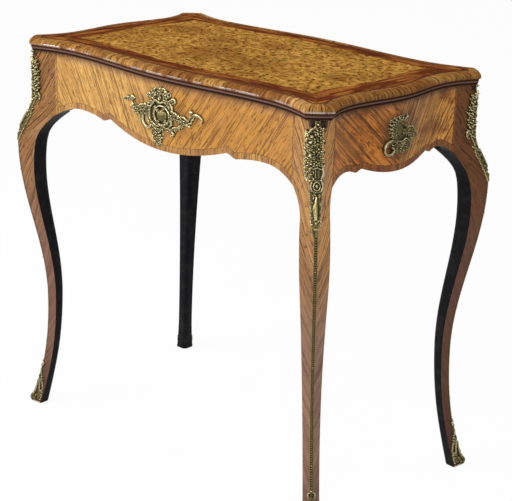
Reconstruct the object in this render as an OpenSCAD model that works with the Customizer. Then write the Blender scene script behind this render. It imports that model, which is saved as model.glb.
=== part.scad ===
// Serpentine centre table on four cabriole legs: a veneered carcase under a moulded and
// banded top, dressed with cast bronze mounts. Millimetres, +Z up.
// The origin lies on the floor under the middle of the top. +X runs along the length.

/* [Top] */
// Height of the top above the floor
table_h = 750; // [700:5:800]
// Length of the top over its corners
top_len = 752; // [730:2:800]
// Depth of the top over its corners
top_dep = 442; // [430:2:480]
// Thickness of the top with its veneer
top_t = 23; // [21:0.5:28]
// Length that each canted corner takes off either side
corner_cut = 34; // [28:1:38]
// How far the canted corners bow out of the straight line
corner_bow = 3; // [0:0.5:4]
// How far the middle of a long side swells out of its hollows
long_swell = 15; // [8:0.5:20]
// How far the hollows of a long side lie inside its corners
long_hollow = 23; // [16:0.5:26]
// Distance of those hollows from the middle of the long side
long_dip = 235; // [200:5:250]
// How far the middle of a short side swells out of its hollows
short_swell = 12; // [6:0.5:16]
// How far the hollows of a short side lie inside its corners
short_hollow = 21; // [14:0.5:24]
// Distance of those hollows from the middle of the short side
short_dip = 115; // [100:5:120]

/* [Top edge and banding] */
// Width of the solid moulded edge
edge_w = 24; // [20:0.5:28]
// Inward reach of the rounded nose above its widest line
nose_in = 13; // [9:0.5:14]
// Drop of the nose's widest line below the top
nose_drop = 8.5; // [7:0.5:10]
// Height of the quarter round under the widest line
under_drop = 2.5; // [2:0.5:4]
// Inward reach of the quarter round under the widest line
under_in = 2; // [1.5:0.5:3]
// Width of the fillet between the quarter round and the cove
fillet_w = 1.2; // [0.8:0.2:2]
// Height of the face of that fillet
fillet_h = 1.2; // [0.8:0.2:2]
// Inward reach of the cove at the foot of the moulding
cove_in = 6; // [4:0.5:6.5]
// Thickness of the veneer laid on the top
veneer_t = 1.5; // [1:0.1:2.5]
// Width of the dark line between the edge and the band
line_w = 1.6; // [1:0.1:3]
// Width of the dark line's canted corners
line_cut = 20; // [14:1:24]
// Width of the banding along the long sides, with the line
band_long = 30; // [22:1:36]
// Width of the banding along the short sides, with the line
band_short = 43; // [34:1:50]
// Distance of the burr panel's corners from the ends of the top
panel_corner_in_x = 86; // [80:1:95]
// Distance of the burr panel's corners from the long sides of the top
panel_corner_in_y = 76; // [70:1:82]

/* [Aprons] */
// Thickness of each apron
apron_t = 22; // [18:0.5:26]
// How far the aprons stand in from the edge of the top
apron_in = 10; // [9.6:0.2:12]
// Height of the long aprons in the middle
long_mid_h = 121; // [110:1:130]
// Height of the long aprons at their pointed cusps
long_cusp_h = 95.5; // [88:0.5:102]
// Distance of those cusps from the middle
long_cusp_x = 149; // [130:1:155]
// Height of the long aprons at the small pointed drops
long_tip_h = 103; // [98:0.5:108]
// Distance of those drops from the middle
long_tip_x = 168; // [160:1:180]
// Height of the long aprons at the crown of the side arches
long_arch_h = 95.5; // [88:0.5:97]
// Distance of those crowns from the middle
long_arch_x = 232; // [215:1:240]
// Height of the short aprons in the middle
short_mid_h = 116.5; // [110:0.5:128]
// Height of the short aprons at their pointed cusps
short_cusp_h = 100; // [94:0.5:104]
// Distance of those cusps from the middle
short_cusp_y = 83; // [74:1:86]
// Height of the short aprons at the small pointed drops
short_tip_h = 105; // [101:0.5:110]
// Distance of those drops from the middle
short_tip_y = 96; // [92:1:100]
// Height of the short aprons at the crown of the side arches
short_arch_h = 99.5; // [94:0.5:101]
// Distance of those crowns from the middle
short_arch_y = 118; // [110:1:124]
// Height of every apron where it meets a leg
apron_end_h = 117; // [112:0.5:122]

/* [Legs] */
// How far the leg blank reaches along the length from its corner
post_len = 61.5; // [56:0.5:66]
// How far the leg blank reaches along the depth from its corner
post_dep = 51; // [47:0.5:56]
// Width of the flat on the corner of a leg, measured along either face, at the top
post_cut = 16; // [12:0.5:18]
// The same flat below the knee, under the beaded strip
arris_cut = 3.4; // [2.5:0.1:4]
// Length of the straight post above the knee
post_h = 87; // [80:1:92]
// Depth of the fullest point of the knee below the top board
knee_depth = 179; // [165:1:195]
// How far the knee stands out from the post
knee_out = 18.5; // [10:0.5:22]
// Height of the slimmest bend above the foot
ankle_z = 235; // [190:5:250]
// How far that bend lies inside the post
ankle_in = 14.5; // [10:0.5:22]
// How far the foot stands out from the post
foot_out = 13; // [8:0.5:18]
// Extra lean of the foot along the length, taken off the depth
foot_lean = 9; // [0:0.5:12]
// Width of each face of the leg at the knee
knee_w = 44; // [38:0.5:48]
// Width of each face of the leg at its slimmest
slim_w = 22; // [17:0.5:24]
// Height at which the leg is slimmest
slim_z = 90; // [80:5:110]
// Width of each face of the leg at the floor
foot_w = 26; // [23:0.5:32]
// Radius of the rounded inner corner of a leg
inner_r = 10; // [6:0.5:12]
// How hollow the faces of a leg are below the knee
face_hollow = 2; // [1:0.25:3]

/* [Joints and fixings] */
// Thickness of the tenons on the aprons
tenon_t = 9; // [7:0.5:10]
// Length of the tenons on the aprons
tenon_l = 24; // [18:1:26]
// Height of the tenons on the aprons
tenon_h = 78; // [60:2:84]
// Space round a tenon in its mortise
joint_gap = 0.1; // [0.05:0.05:0.3]
// Diameter of the pegs through the tenons
peg_d = 6; // [5:0.5:7]
// Diameter of the screws that hold the top
screw_d = 4; // [3.5:0.5:5]
// Depth of the screws in the top board
screw_in = 14; // [10:1:16]
// Width and height of the glue blocks under the top
block_w = 18; // [15:1:20]
// Length of a glue block
block_l = 55; // [40:5:60]
// Distance of the outer glue blocks from the middle of the long aprons
block_x = 210; // [150:5:230]
// Distance of the glue blocks from the middle of the short aprons
block_y = 85; // [50:5:100]

/* [Bronze mounts] */
// Space between a mount and the wood
seat_gap = 0.1; // [0.05:0.05:0.3]
// Space left over the leaves of the knee mounts for the crowning bead
knee_mount_drop = 9; // [8.5:0.5:14]
// Length of the knee mounts
knee_mount_l = 165; // [151:2:171]
// Reach of their leaves along one face of the leg
knee_mount_wing = 15; // [10:0.5:17]
// Reach of their leaves along the other face
knee_mount_side = 3.5; // [3:0.5:8]
// Thickness of the knee mounts over the corner
knee_mount_t = 5; // [3:0.25:6]
// Height of the foot mounts
sabot_h = 88; // [76:1:92]
// How far the scrolled toe stands out in front of the foot
toe_out = 9.5; // [6:0.5:11]
// Thickness of the beaded strips
strip_t = 1.8; // [1.2:0.1:2.4]
// How far the middle of the large mounts lies below the top board
large_mount_drop = 60; // [57:1:62]
// Thickness of the large mounts at their scrolls
large_mount_t = 5; // [3.5:0.5:6]
// How far the middle of the small mounts lies below the top board
small_mount_drop = 56; // [53:1:59]
// Width of the large mounts
large_mount_w = 200; // [180:2:216]
// Thickness of the small mounts at their scrolls
small_mount_t = 5; // [3.5:0.5:6]
// Width of the small mounts
small_mount_w = 83; // [75:1:87]

/* [Hidden] */

// Colours of the woods, the stained inner faces and the bronze
tulipwood = [0.78, 0.52, 0.27];
kingwood = [0.56, 0.26, 0.12];
burr = [0.82, 0.62, 0.26];
ebony = [0.12, 0.10, 0.10];
oak = [0.62, 0.50, 0.34];
bronze = [0.55, 0.49, 0.27];
steel = [0.55, 0.55, 0.55];

// Steps along a long side, a short side, a canted corner and an apron
long_steps = 32;
short_steps = 20;
corner_steps = 8;
apron_steps = 36;

half_len = top_len / 2;
half_dep = top_dep / 2;
under_z = table_h - top_t;
board_top_z = table_h - veneer_t;

function mix(a, b, t) = a + (b - a) * t;
function clamp01(t) = min(1, max(0, t));
function ease(t) = (1 - cos(180 * clamp01(t))) / 2;
function last(v) = v[len(v) - 1];
function backwards(v) = [for (i = [len(v) - 1:-1:0]) v[i]];

// A serpentine side seen in plan: a swell in the middle, a hollow either side of it, and a
// sweep out to the corner. level is the depth of the hollow, dip its place, end the corner.
function serpentine(a, level, swell, dip, end_a, end_level) =
    a < dip ? level + swell * ease(1 - a / dip)
            : level + (end_level - level) * pow((a - dip) / (end_a - dip), 2);
function long_side(x, inset, corner) =
    serpentine(abs(x), half_dep - long_hollow - inset, long_swell, long_dip, corner.x, corner.y);
function short_side(y, inset, corner) =
    serpentine(abs(y), half_len - short_hollow - inset, short_swell, short_dip, corner.y, corner.x);

// Points of the back and right sides of an outline from corner to corner
function long_pts(inset, corner) = [
    for (i = [0:long_steps]) let (x = corner.x * (2 * i / long_steps - 1)) [x, long_side(x, inset, corner)]
];
function short_pts(inset, corner) = [
    for (i = [0:short_steps]) let (y = corner.y * (2 * i / short_steps - 1)) [short_side(y, inset, corner), y]
];
function turned(pts) = [for (p = pts) -p];
function all_but_last(v) = [for (i = [0:len(v) - 2]) v[i]];

// A closed outline with sharp corners, anticlockwise from the right-hand front corner
function outline(inset_long, inset_short, corner) = concat(
    all_but_last(short_pts(inset_short, corner)),
    all_but_last(backwards(long_pts(inset_long, corner))),
    all_but_last(turned(short_pts(inset_short, corner))),
    all_but_last(turned(backwards(long_pts(inset_long, corner))))
);

// The same with its corners cut off
function canted_outline(inset, long_corner, short_corner) = concat(
    short_pts(inset, short_corner),
    backwards(long_pts(inset, long_corner)),
    turned(short_pts(inset, short_corner)),
    turned(backwards(long_pts(inset, long_corner)))
);

// Corners of the lines on the top
cut_mid = [half_len - corner_cut / 2, half_dep - corner_cut / 2];
edge_long_corner = [half_len - corner_cut, half_dep];
edge_short_corner = [half_len, half_dep - corner_cut];
line_mid = cut_mid - 0.65 * edge_w * [1, 1];
line_long_corner = line_mid + line_cut / sqrt(8) * [-1, 1];
line_short_corner = line_mid + line_cut / sqrt(8) * [1, -1];
band_long_corner = line_long_corner - line_w * [0.3, 1.1];
band_short_corner = line_short_corner - line_w * [1.1, 0.3];
band_mid = (band_long_corner + band_short_corner) / 2;
panel_corner = [half_len - panel_corner_in_x, half_dep - panel_corner_in_y];

line_ring = canted_outline(edge_w, line_long_corner, line_short_corner);
band_ring = canted_outline(edge_w + line_w, band_long_corner, band_short_corner);
panel_ring = outline(edge_w + band_long, edge_w + band_short, panel_corner);

// A closed solid through rings of equal length. The ends are fans from the first point, or
// for a thin section strips between its two halves.
module skin(rings, thin = false) {
    n = len(rings[0]);
    m = len(rings);
    half = n / 2;
    sides = [
        for (j = [0:m - 2]) for (i = [0:n - 1])
            let (a = j * n + i, b = j * n + (i + 1) % n) each [[a, b + n, b], [a, a + n, b + n]]
    ];
    low = thin
        ? [for (i = [0:half - 2]) each [[i, i + 1, n - 1 - i], [i + 1, n - 2 - i, n - 1 - i]]]
        : [for (i = [1:n - 2]) [0, i, i + 1]];
    high = [for (f = low) [for (k = f) k + (m - 1) * n]];
    polyhedron(points = [for (r = rings) each r],
               faces = concat(low, sides, [for (f = high) backwards(f)]), convexity = 8);
}

// Puts what is made for the back right corner into any corner
module corner_of(side_x, side_y)
    mirror([side_x < 0 ? 1 : 0, 0, 0]) mirror([0, side_y < 0 ? 1 : 0, 0]) children();

module top_board()
    color(oak) translate([0, 0, under_z]) difference() {
        linear_extrude(board_top_z - under_z) polygon(line_ring);
        translate([0, 0, -under_z]) at_blocks() screw_hole();
    }

module burr_panel()
    color(burr) translate([0, 0, board_top_z]) linear_extrude(veneer_t) polygon(panel_ring);

module top_line()
    color(ebony) translate([0, 0, board_top_z]) linear_extrude(veneer_t) difference() {
        polygon(line_ring);
        polygon(band_ring);
    }

// One mitred band of veneer between the dark line and the burr panel
module band(outer, inner)
    color(kingwood) translate([0, 0, board_top_z]) linear_extrude(veneer_t)
        polygon(concat(outer, backwards(inner)));
line_in = edge_w + line_w;
band_back_pts = concat([[-band_mid.x, band_mid.y]], long_pts(line_in, band_long_corner), [band_mid]);
band_right_pts = concat([[band_mid.x, -band_mid.y]], short_pts(line_in, band_short_corner), [band_mid]);
panel_back_pts = long_pts(edge_w + band_long, panel_corner);
panel_right_pts = short_pts(edge_w + band_short, panel_corner);
module band_back() band(band_back_pts, panel_back_pts);
module band_front() band(turned(band_back_pts), turned(panel_back_pts));
module band_right() band(band_right_pts, panel_right_pts);
module band_left() band(turned(band_right_pts), turned(panel_right_pts));

// Section of the moulded edge as [distance in from its outer line, height from the top]:
// flat, thumb-shaped nose, quarter round under it, fillet and cove
cove_top = -nose_drop - under_drop - fillet_h;
edge_profile = concat(
    [[edge_w, 0]],
    [for (a = [0:15:90]) [nose_in * (1 - sin(a)), nose_drop * (cos(a) - 1)]],
    [for (a = [22.5:22.5:90]) [under_in * (1 - cos(a)), -nose_drop - under_drop * sin(a)]],
    [[under_in + fillet_w, -nose_drop - under_drop]],
    [for (a = [0:30:90]) [under_in + fillet_w + cove_in * (1 - cos(a)), mix(cove_top, -top_t, sin(a))]],
    [[edge_w, -top_t]]
);

// The moulded edge along one side, between its outer line and the dark line
module edge_strip(outer, inner)
    color(kingwood) skin([
        for (i = [0:len(outer) - 1]) [
            for (p = edge_profile) let (q = mix(outer[i], inner[i], p.x / edge_w)) [q.x, q.y, table_h + p.y]
        ]
    ]);
edge_back_outer = long_pts(0, edge_long_corner);
edge_right_outer = short_pts(0, edge_short_corner);
line_back_pts = long_pts(edge_w, line_long_corner);
line_right_pts = short_pts(edge_w, line_short_corner);
module edge_back() edge_strip(backwards(edge_back_outer), backwards(line_back_pts));
module edge_front() edge_strip(turned(backwards(edge_back_outer)), turned(backwards(line_back_pts)));
module edge_right() edge_strip(edge_right_outer, line_right_pts);
module edge_left() edge_strip(turned(edge_right_outer), turned(line_right_pts));

// The short moulded length that bows across a canted corner, mitred to its neighbours
corner_outer = [
    for (i = [0:corner_steps]) let (t = i / corner_steps)
        mix(edge_short_corner, edge_long_corner, t) + corner_bow * pow(sin(180 * t), 0.75) / sqrt(2) * [1, 1]
];
corner_inner = [for (i = [0:corner_steps]) mix(line_short_corner, line_long_corner, i / corner_steps)];
module edge_corner() edge_strip(corner_outer, corner_inner);
module edge_corner_front_left() corner_of(-1, -1) edge_corner();
module edge_corner_front_right() corner_of(1, -1) edge_corner();
module edge_corner_back_left() corner_of(-1, 1) edge_corner();
module edge_corner_back_right() corner_of(1, 1) edge_corner();

// The outer corner of a leg post in plan, and the inner sides of the post. The canted face of
// the post lies a little inside that of the top.
post_in = 3.5;
post_x = cut_mid.x + post_cut / 2 - post_in;
post_y = cut_mid.y + post_cut / 2 - post_in;
post_in_x = post_x - post_len;
post_in_y = post_y - post_dep;
apron_long_corner = [post_x - post_cut, post_y];
apron_short_corner = [post_x, post_y - post_cut];
arch_z = under_z - apron_end_h;
function apron_face_y(x) = long_side(x, apron_in, apron_long_corner);
function apron_face_x(y) = short_side(y, apron_in, apron_short_corner);

// Half of an apron's lower edge from its middle out to the post, as [place, height]: a bowed
// middle up to the cusp, a pointed drop, an arch, and the sweep down into the leg
function apron_edge(mid_h, cusp_h, cusp_a, tip_h, tip_a, arch_h, arch_a, end_a) =
    let (sag = mid_h - cusp_h, bow_r = (cusp_a * cusp_a + sag * sag) / (2 * sag))
    concat(
        [for (i = [0:12]) let (a = cusp_a * i / 12) [a, -mid_h + bow_r - sqrt(bow_r * bow_r - a * a)]],
        [for (i = [0:6]) let (t = i / 6) [mix(tip_a, arch_a, t), -arch_h - (tip_h - arch_h) * pow(1 - t, 2)]],
        [for (i = [1:8]) let (t = i / 8) [mix(arch_a, end_a, t), -arch_h - (apron_end_h - arch_h) * t * t]]
    );
long_edge_half = apron_edge(long_mid_h, long_cusp_h, long_cusp_x, long_tip_h, long_tip_x,
                            long_arch_h, long_arch_x, post_in_x);
short_edge_half = apron_edge(short_mid_h, short_cusp_h, short_cusp_y, short_tip_h, short_tip_y,
                             short_arch_h, short_arch_y, post_in_y);
module apron_elevation(half_edge)
    polygon(concat(
        [[-last(half_edge).x - 1, 1], [-last(half_edge).x - 1, last(half_edge).y]],
        [for (p = backwards(half_edge)) [-p.x, p.y]],
        [for (i = [1:len(half_edge) - 1]) half_edge[i]],
        [[last(half_edge).x + 1, last(half_edge).y], [last(half_edge).x + 1, 1]]
    ));

// Plan of the long apron at the back and of the short apron on the right
apron_shares = [for (i = [0:apron_steps]) 2 * i / apron_steps - 1];
apron_back_face = [for (k = apron_shares) [post_in_x * k, apron_face_y(post_in_x * k)]];
apron_right_face = [for (k = apron_shares) [apron_face_x(post_in_y * k), post_in_y * k]];

// Middle of each tenon across the thickness of its apron, and the height of its foot
long_tenon_y = apron_face_y(post_in_x) - apron_t / 2;
short_tenon_x = apron_face_x(post_in_y) - apron_t / 2;
tenon_drop = 17;
tenon_z = under_z - tenon_drop - tenon_h;
module tenons(length_x, middle_y, slack, sides = [-1, 1])
    for (side = sides)
        translate([side * (length_x + tenon_l / 2 - 1), middle_y, tenon_z + tenon_h / 2])
            cube([tenon_l + 2 + 2 * slack, tenon_t + 2 * slack, tenon_h + 2 * slack], center = true);

module long_apron()
    color(tulipwood) difference() {
        union() {
            intersection() {
                linear_extrude(under_z)
                    polygon(concat(apron_back_face, [for (p = backwards(apron_back_face)) p - [0, apron_t]]));
                translate([0, half_dep, under_z]) rotate([90, 0, 0])
                    linear_extrude(half_dep) apron_elevation(long_edge_half);
            }
            tenons(post_in_x, long_tenon_y, 0);
        }
        long_pegs(joint_gap);
    }
module apron_back() long_apron();
module apron_front() rotate([0, 0, 180]) long_apron();

module short_apron()
    color(tulipwood) difference() {
        union() {
            intersection() {
                linear_extrude(under_z)
                    polygon(concat([for (p = apron_right_face) p - [apron_t, 0]], backwards(apron_right_face)));
                translate([0, 0, under_z]) rotate([90, 0, 90])
                    linear_extrude(half_len) apron_elevation(short_edge_half);
            }
            rotate([0, 0, -90]) tenons(post_in_y, short_tenon_x, 0);
        }
        short_pegs(joint_gap);
    }
module apron_right() short_apron();
module apron_left() rotate([0, 0, 180]) short_apron();

// Line of a leg's outer corner: straight at the post, out over the knee, in above the ankle
// and out again to the foot
function leg_bow(z) =
    z >= knee_z ? knee_out * ease((knee_top_z - z) / (knee_top_z - knee_z))
    : z >= ankle_z ? mix(-ankle_in, knee_out, ease((z - ankle_z) / (knee_z - ankle_z)))
    : mix(-ankle_in, foot_out, pow(1 - z / ankle_z, 2.2));
function leg_lean(z) = foot_lean * clamp01(1 - z / knee_z);
function leg_x(z) = post_x + leg_bow(z) + leg_lean(z);
function leg_y(z) = post_y + leg_bow(z) - leg_lean(z);
cant_z = under_z - post_h / 2;
function leg_cut(z) = mix(arris_cut, post_cut, ease((z - knee_z) / (cant_z - knee_z)));

// Width of a leg's faces below the arch, and the inner sides that sweep into the aprons
arch_start_z = arch_z - 48;
knee_top_z = under_z - post_h;
knee_z = under_z - knee_depth;
function shaft_w(z) =
    z < slim_z ? mix(foot_w, slim_w, 1 - pow(1 - z / slim_z, 2))
               : mix(slim_w, knee_w, pow(clamp01((z - slim_z) / (arch_start_z - slim_z)), 2));
function arch_share(z) = clamp01((z - arch_start_z) / (arch_z - arch_start_z));
function sweep_in(z, outer, outer_at_arch, post_in) =
    z >= arch_z ? post_in
    : outer - shaft_w(z) - (outer_at_arch - knee_w - post_in) * pow(arch_share(z), 2);
function leg_in_x(z) = sweep_in(z, leg_x(z), leg_x(arch_z), post_in_x);
function leg_in_y(z) = sweep_in(z, leg_y(z), leg_y(arch_z), post_in_y);

// How far a face falls back at its inner side, following the aprons above the arch
function face_fall(z, corner, corner_at_arch, apron_face) =
    z >= arch_z ? corner - apron_face
    : mix(face_hollow, corner_at_arch - apron_face, pow(clamp01((z - arch_z + 170) / 170), 2));
function long_face(z, x) =
    let (t = (x - leg_in_x(z)) / (leg_x(z) - leg_cut(z) - leg_in_x(z)),
         start = post_y - apron_face_y(post_in_x),
         rise = (post_y - apron_face_y(mix(post_in_x, apron_long_corner.x, t))) / start)
    leg_y(z) - rise * face_fall(z, leg_y(z), leg_y(arch_z), apron_face_y(post_in_x));
function short_face(z, y) =
    let (t = (y - leg_in_y(z)) / (leg_y(z) - leg_cut(z) - leg_in_y(z)),
         start = post_x - apron_face_x(post_in_y),
         rise = (post_x - apron_face_x(mix(post_in_y, apron_short_corner.y, t))) / start)
    leg_x(z) - rise * face_fall(z, leg_x(z), leg_x(arch_z), apron_face_x(post_in_y));

// One level of a leg, from the middle of its rounded inner corner round by the short face
face_steps = 4;
function leg_ring(z) =
    let (ix = leg_in_x(z), iy = leg_in_y(z), r = min(inner_r, 0.4 * shaft_w(z)),
         cx = leg_x(z) - leg_cut(z), cy = leg_y(z) - leg_cut(z))
    concat(
        [for (a = [225:22.5:270]) [ix + r + r * cos(a), iy + r + r * sin(a), z]],
        [for (i = [0:face_steps]) let (y = mix(iy, cy, i / face_steps)) [short_face(z, y), y, z]],
        [for (i = [face_steps:-1:0]) let (x = mix(ix, cx, i / face_steps)) [x, long_face(z, x), z]],
        [for (a = [180:22.5:202.5]) [ix + r + r * cos(a), iy + r + r * sin(a), z]]
    );
// Heights of the rings of the leg. Its knee shares them with the mount that lies on it.
mount_top_z = under_z - knee_mount_drop;
mount_low_z = mount_top_z - knee_mount_l;
shaft_levels = [for (i = [0:10]) mix(sabot_h, mount_low_z, i / 10)];
mount_levels = concat([for (i = [0:6]) mix(mount_low_z, arch_z, i / 6)],
                      [for (i = [1:13]) mix(arch_z, mount_top_z, i / 13)]);
leg_levels = concat(
    [for (i = [0:5]) sabot_h * pow(i / 6, 1.2)],
    shaft_levels,
    [for (z = mount_levels) if (z > mount_low_z && z < cant_z) z],
    [cant_z, under_z]
);

module leg()
    color(tulipwood) difference() {
        skin([for (z = leg_levels) leg_ring(z)]);
        tenons(post_in_x, long_tenon_y, joint_gap, [1]);
        rotate([0, 0, -90]) tenons(post_in_y, short_tenon_x, joint_gap, [-1]);
        long_pegs(joint_gap, [1]);
        short_pegs(joint_gap, [1]);
    }
module leg_front_left() corner_of(-1, -1) leg();
module leg_front_right() corner_of(1, -1) leg();
module leg_back_left() corner_of(-1, 1) leg();
module leg_back_right() corner_of(1, 1) leg();

// Pegs that draw the tenons up, two to a joint, driven from the hidden inner sides. Each
// starts flush with the post and ends a little past the tenon, behind the veneer.
peg_in = 14;
peg_past = tenon_t / 2 + 4;
long_peg_z = [tenon_z + 0.2 * tenon_h, tenon_z + 0.62 * tenon_h];
short_peg_z = [tenon_z + 0.41 * tenon_h, tenon_z + 0.83 * tenon_h];
module long_pegs(slack, sides = [-1, 1])
    for (side = sides) for (z = long_peg_z)
        translate([side * (post_in_x + peg_in), long_tenon_y + peg_past + slack, z]) rotate([90, 0, 0])
            cylinder(d = peg_d + 2 * slack, h = long_tenon_y + peg_past - post_in_y + 2 * slack, $fn = 32);
module short_pegs(slack, sides = [-1, 1])
    for (side = sides) for (z = short_peg_z)
        translate([post_in_x - slack, side * (post_in_y + peg_in), z]) rotate([0, 90, 0])
            cylinder(d = peg_d + 2 * slack, h = short_tenon_x + peg_past - post_in_x + 2 * slack, $fn = 32);
module tenon_pegs()
    color(oak) for (turn = [0, 180]) rotate([0, 0, turn]) {
        long_pegs(0);
        short_pegs(0);
    }

// Glue blocks rubbed into the angle between the aprons and the top board, each with a screw
// up into the board. The outlines follow the inner faces of the aprons.
module block_plan(face, inward, middle, size)
    intersection() {
        polygon(concat([for (p = face) p - inward * (apron_t + block_w)],
                       [for (p = backwards(face)) p - inward * apron_t]));
        translate([middle.x, middle.y]) square(size, center = true);
    }
long_places = [for (x = [-block_x, 0, block_x]) [x, apron_face_y(x) - apron_t - block_w / 2]];
short_places = [for (y = [-block_y, block_y]) [apron_face_x(y) - apron_t - block_w / 2, y]];
block_z = under_z - block_w;
module at_blocks()
    for (turn = [0, 180], at = concat(long_places, short_places))
        rotate([0, 0, turn]) translate([at.x, at.y, block_z]) children();
module screw_hole()
    translate([0, 0, -joint_gap])
        cylinder(d = screw_d + 2 * joint_gap, h = block_w + screw_in + 2 * joint_gap, $fn = 24);
module glue_blocks()
    color(oak) difference() {
        for (turn = [0, 180]) rotate([0, 0, turn]) translate([0, 0, block_z]) linear_extrude(block_w) {
            for (at = long_places) block_plan(apron_back_face, [0, 1], at, [block_l, 3 * block_w]);
            for (at = short_places) block_plan(apron_right_face, [1, 0], at, [3 * block_w, block_l]);
        }
        at_blocks() screw_hole();
    }
screw_head_h = 3;
module top_screws()
    color(steel) at_blocks() {
        cylinder(d = screw_d, h = block_w + screw_in, $fn = 24);
        translate([0, 0, -screw_head_h]) cylinder(d = 2 * screw_d, h = screw_head_h, $fn = 24);
    }

// A thin section that wraps the corner of a leg. reach is its spread along the long and the short
// face, lift its thickness at the middle of the corner, at its edges, along the faces and at the rims.
function wrap_ring(z, reach, lift) =
    let (cx = leg_x(z) - leg_cut(z), cy = leg_y(z) - leg_cut(z), g = seat_gap,
         xs = [cx - reach.x, cx - reach.x / 2, cx], ys = [cy, cy - reach.y / 2, cy - reach.y],
         up = [lift[3], lift[2], lift[1]], down = [lift[1], lift[2], lift[3]],
         mid = [leg_x(z) - leg_cut(z) / 2, leg_y(z) - leg_cut(z) / 2])
    concat(
        [for (i = [0:2]) [xs[i], long_face(z, xs[i]) + g, z]],
        [[mid.x + g, mid.y + g, z]],
        [for (i = [0:2]) [short_face(z, ys[i]) + g, ys[i], z]],
        [for (i = [2:-1:0]) [short_face(z, ys[i]) + g + down[i], ys[i] + (i == 0 ? g + down[0] / 2 : 0), z]],
        [[mid.x + g + lift[0], mid.y + g + lift[0], z]],
        [for (i = [2:-1:0]) [xs[i] + (i == 2 ? g + up[2] / 2 : 0), long_face(z, xs[i]) + g + up[i], z]]
    );

// Leaf mount over each knee, from its pendant tip up to the leaves under the top, with a bead
// that crowns it and two bosses. Both tables run with the height: the reach of its rims as a
// share of the widest, and its thickness as a share of the thickest. The wider wing lies on the
// front face of the front legs and on the side face of the back legs.
knee_reach = [[0, 0.25], [0.1, 0.43], [0.22, 0.63], [0.28, 0.7], [0.34, 0.6], [0.4, 0.53], [0.47, 0.65],
              [0.53, 0.87], [0.59, 0.87], [0.65, 0.97], [0.77, 1], [0.83, 0.93], [0.9, 0.8], [0.96, 0.5],
              [1, 0.2]];
knee_lift = [[0, 0.35], [0.08, 0.6], [0.18, 0.85], [0.27, 1], [0.37, 0.75], [0.44, 1], [0.5, 0.8],
             [0.58, 1], [0.75, 1], [0.88, 1.15], [1, 0.9]];
// Places up the knee mount, size and proudness of the bead and the bosses
knee_bosses = [[mount_top_z + 3.8, 4.8, 6.5], [mount_top_z - 11, 7.5, 10.5], [mount_top_z - 70, 5.5, 8.5]];
module knee_mount(reach)
    color(bronze) union() {
        skin([
            for (z = mount_levels)
                let (t = (z - mount_low_z) / knee_mount_l, h = knee_mount_t * lookup(t, knee_lift))
                wrap_ring(z, reach * lookup(t, knee_reach), [h, 0.9 * h, 0.7 * h, 0.9])
        ], thin = true);
        for (b = knee_bosses) knee_boss(b[0], b[1], b[2]);
    }
// A domed boss on the flat of the corner, cut off where the wood stands out farthest under it
module knee_boss(z, r, proud)
    let (low = z - r)
    translate([leg_x(low) - leg_cut(low) / 2 + seat_gap, leg_y(low) - leg_cut(low) / 2 + seat_gap, z])
        rotate([0, 0, 45]) intersection() {
            translate([proud - r, 0, 0]) sphere(r = r, $fn = 24);
            translate([0, -r, -r]) cube(2 * r);
        }
knee_reaches = [knee_mount_wing, knee_mount_side];
module knee_mount_front_left() corner_of(-1, -1) knee_mount(knee_reaches);
module knee_mount_front_right() corner_of(1, -1) knee_mount(knee_reaches);
module knee_mount_back_left() corner_of(-1, 1) knee_mount(backwards(knee_reaches));
module knee_mount_back_right() corner_of(1, 1) knee_mount(backwards(knee_reaches));

// Half-round strip along the corner of the leg, from the foot mount to the knee mount
end_gap = 0.3;
strip_levels = concat([sabot_h + end_gap], [for (i = [1:9]) shaft_levels[i]], [mount_low_z - end_gap]);
function strip_ring(z) =
    let (k = leg_cut(z), x = leg_x(z) + seat_gap, y = leg_y(z) + seat_gap, h = strip_t)
    [[x - k, y, z], [x, y - k, z], [x + 0.8 * h, y - k + 0.4 * h, z], [x - k / 2 + h, y - k / 2 + h, z],
     [x - k + 0.4 * h, y + 0.8 * h, z]];
module bead_strip() color(bronze) skin([for (z = strip_levels) strip_ring(z)]);
module bead_strip_front_left() corner_of(-1, -1) bead_strip();
module bead_strip_front_right() corner_of(1, -1) bead_strip();
module bead_strip_back_left() corner_of(-1, 1) bead_strip();
module bead_strip_back_right() corner_of(1, 1) bead_strip();

// Pierced foot mount: a pointed leaf up the corner, two rails that spread from it down either
// face of the foot, and a scrolled toe. The reach runs with the height, as a share of the foot.
sabot_spread = [[0, 0.75], [0.2, 0.78], [0.34, 0.66], [0.46, 0.5], [0.58, 0.32], [0.7, 0.18], [0.88, 0.16],
                [1, 0.05]];
function sabot_lift(t) = t < 0.2 ? toe_out * (0.55 + 0.45 * sin(180 * t / 0.2))
                                 : mix(0.45 * toe_out, 1.2, (t - 0.2) / 0.8);
module sabot()
    color(bronze) difference() {
        skin([
            for (i = [0:14])
                let (t = pow(i / 14, 1.15), h = sabot_lift(t))
                wrap_ring(t * sabot_h, foot_w * lookup(t, sabot_spread) * [1, 1],
                          [0.75 * h, 0.75 * h, 0.55 * min(h, 3.5), 1])
        ], thin = true);
        for (axis = [0, 1]) sabot_opening(axis);
    }
// The opening between the corner and a rail, as [distance from the corner, share of the height],
// cut through the long face or the short one
rail_opening = [[5, 0.26], [13, 0.26], [9.5, 0.42], [4.5, 0.58]];
module sabot_opening(axis)
    translate([axis * leg_x(0), (1 - axis) * leg_y(0), 0]) rotate([90, 0, 90 * axis])
        linear_extrude(4 * toe_out, center = true) polygon([
            for (p = rail_opening) let (z = p.y * sabot_h)
                [(axis == 0 ? leg_x(z) : leg_y(z)) - leg_cut(z) - p.x, z]
        ]);
module sabot_front_left() corner_of(-1, -1) sabot();
module sabot_front_right() corner_of(1, -1) sabot();
module sabot_back_left() corner_of(-1, 1) sabot();
module sabot_back_right() corner_of(1, 1) sabot();

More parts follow.
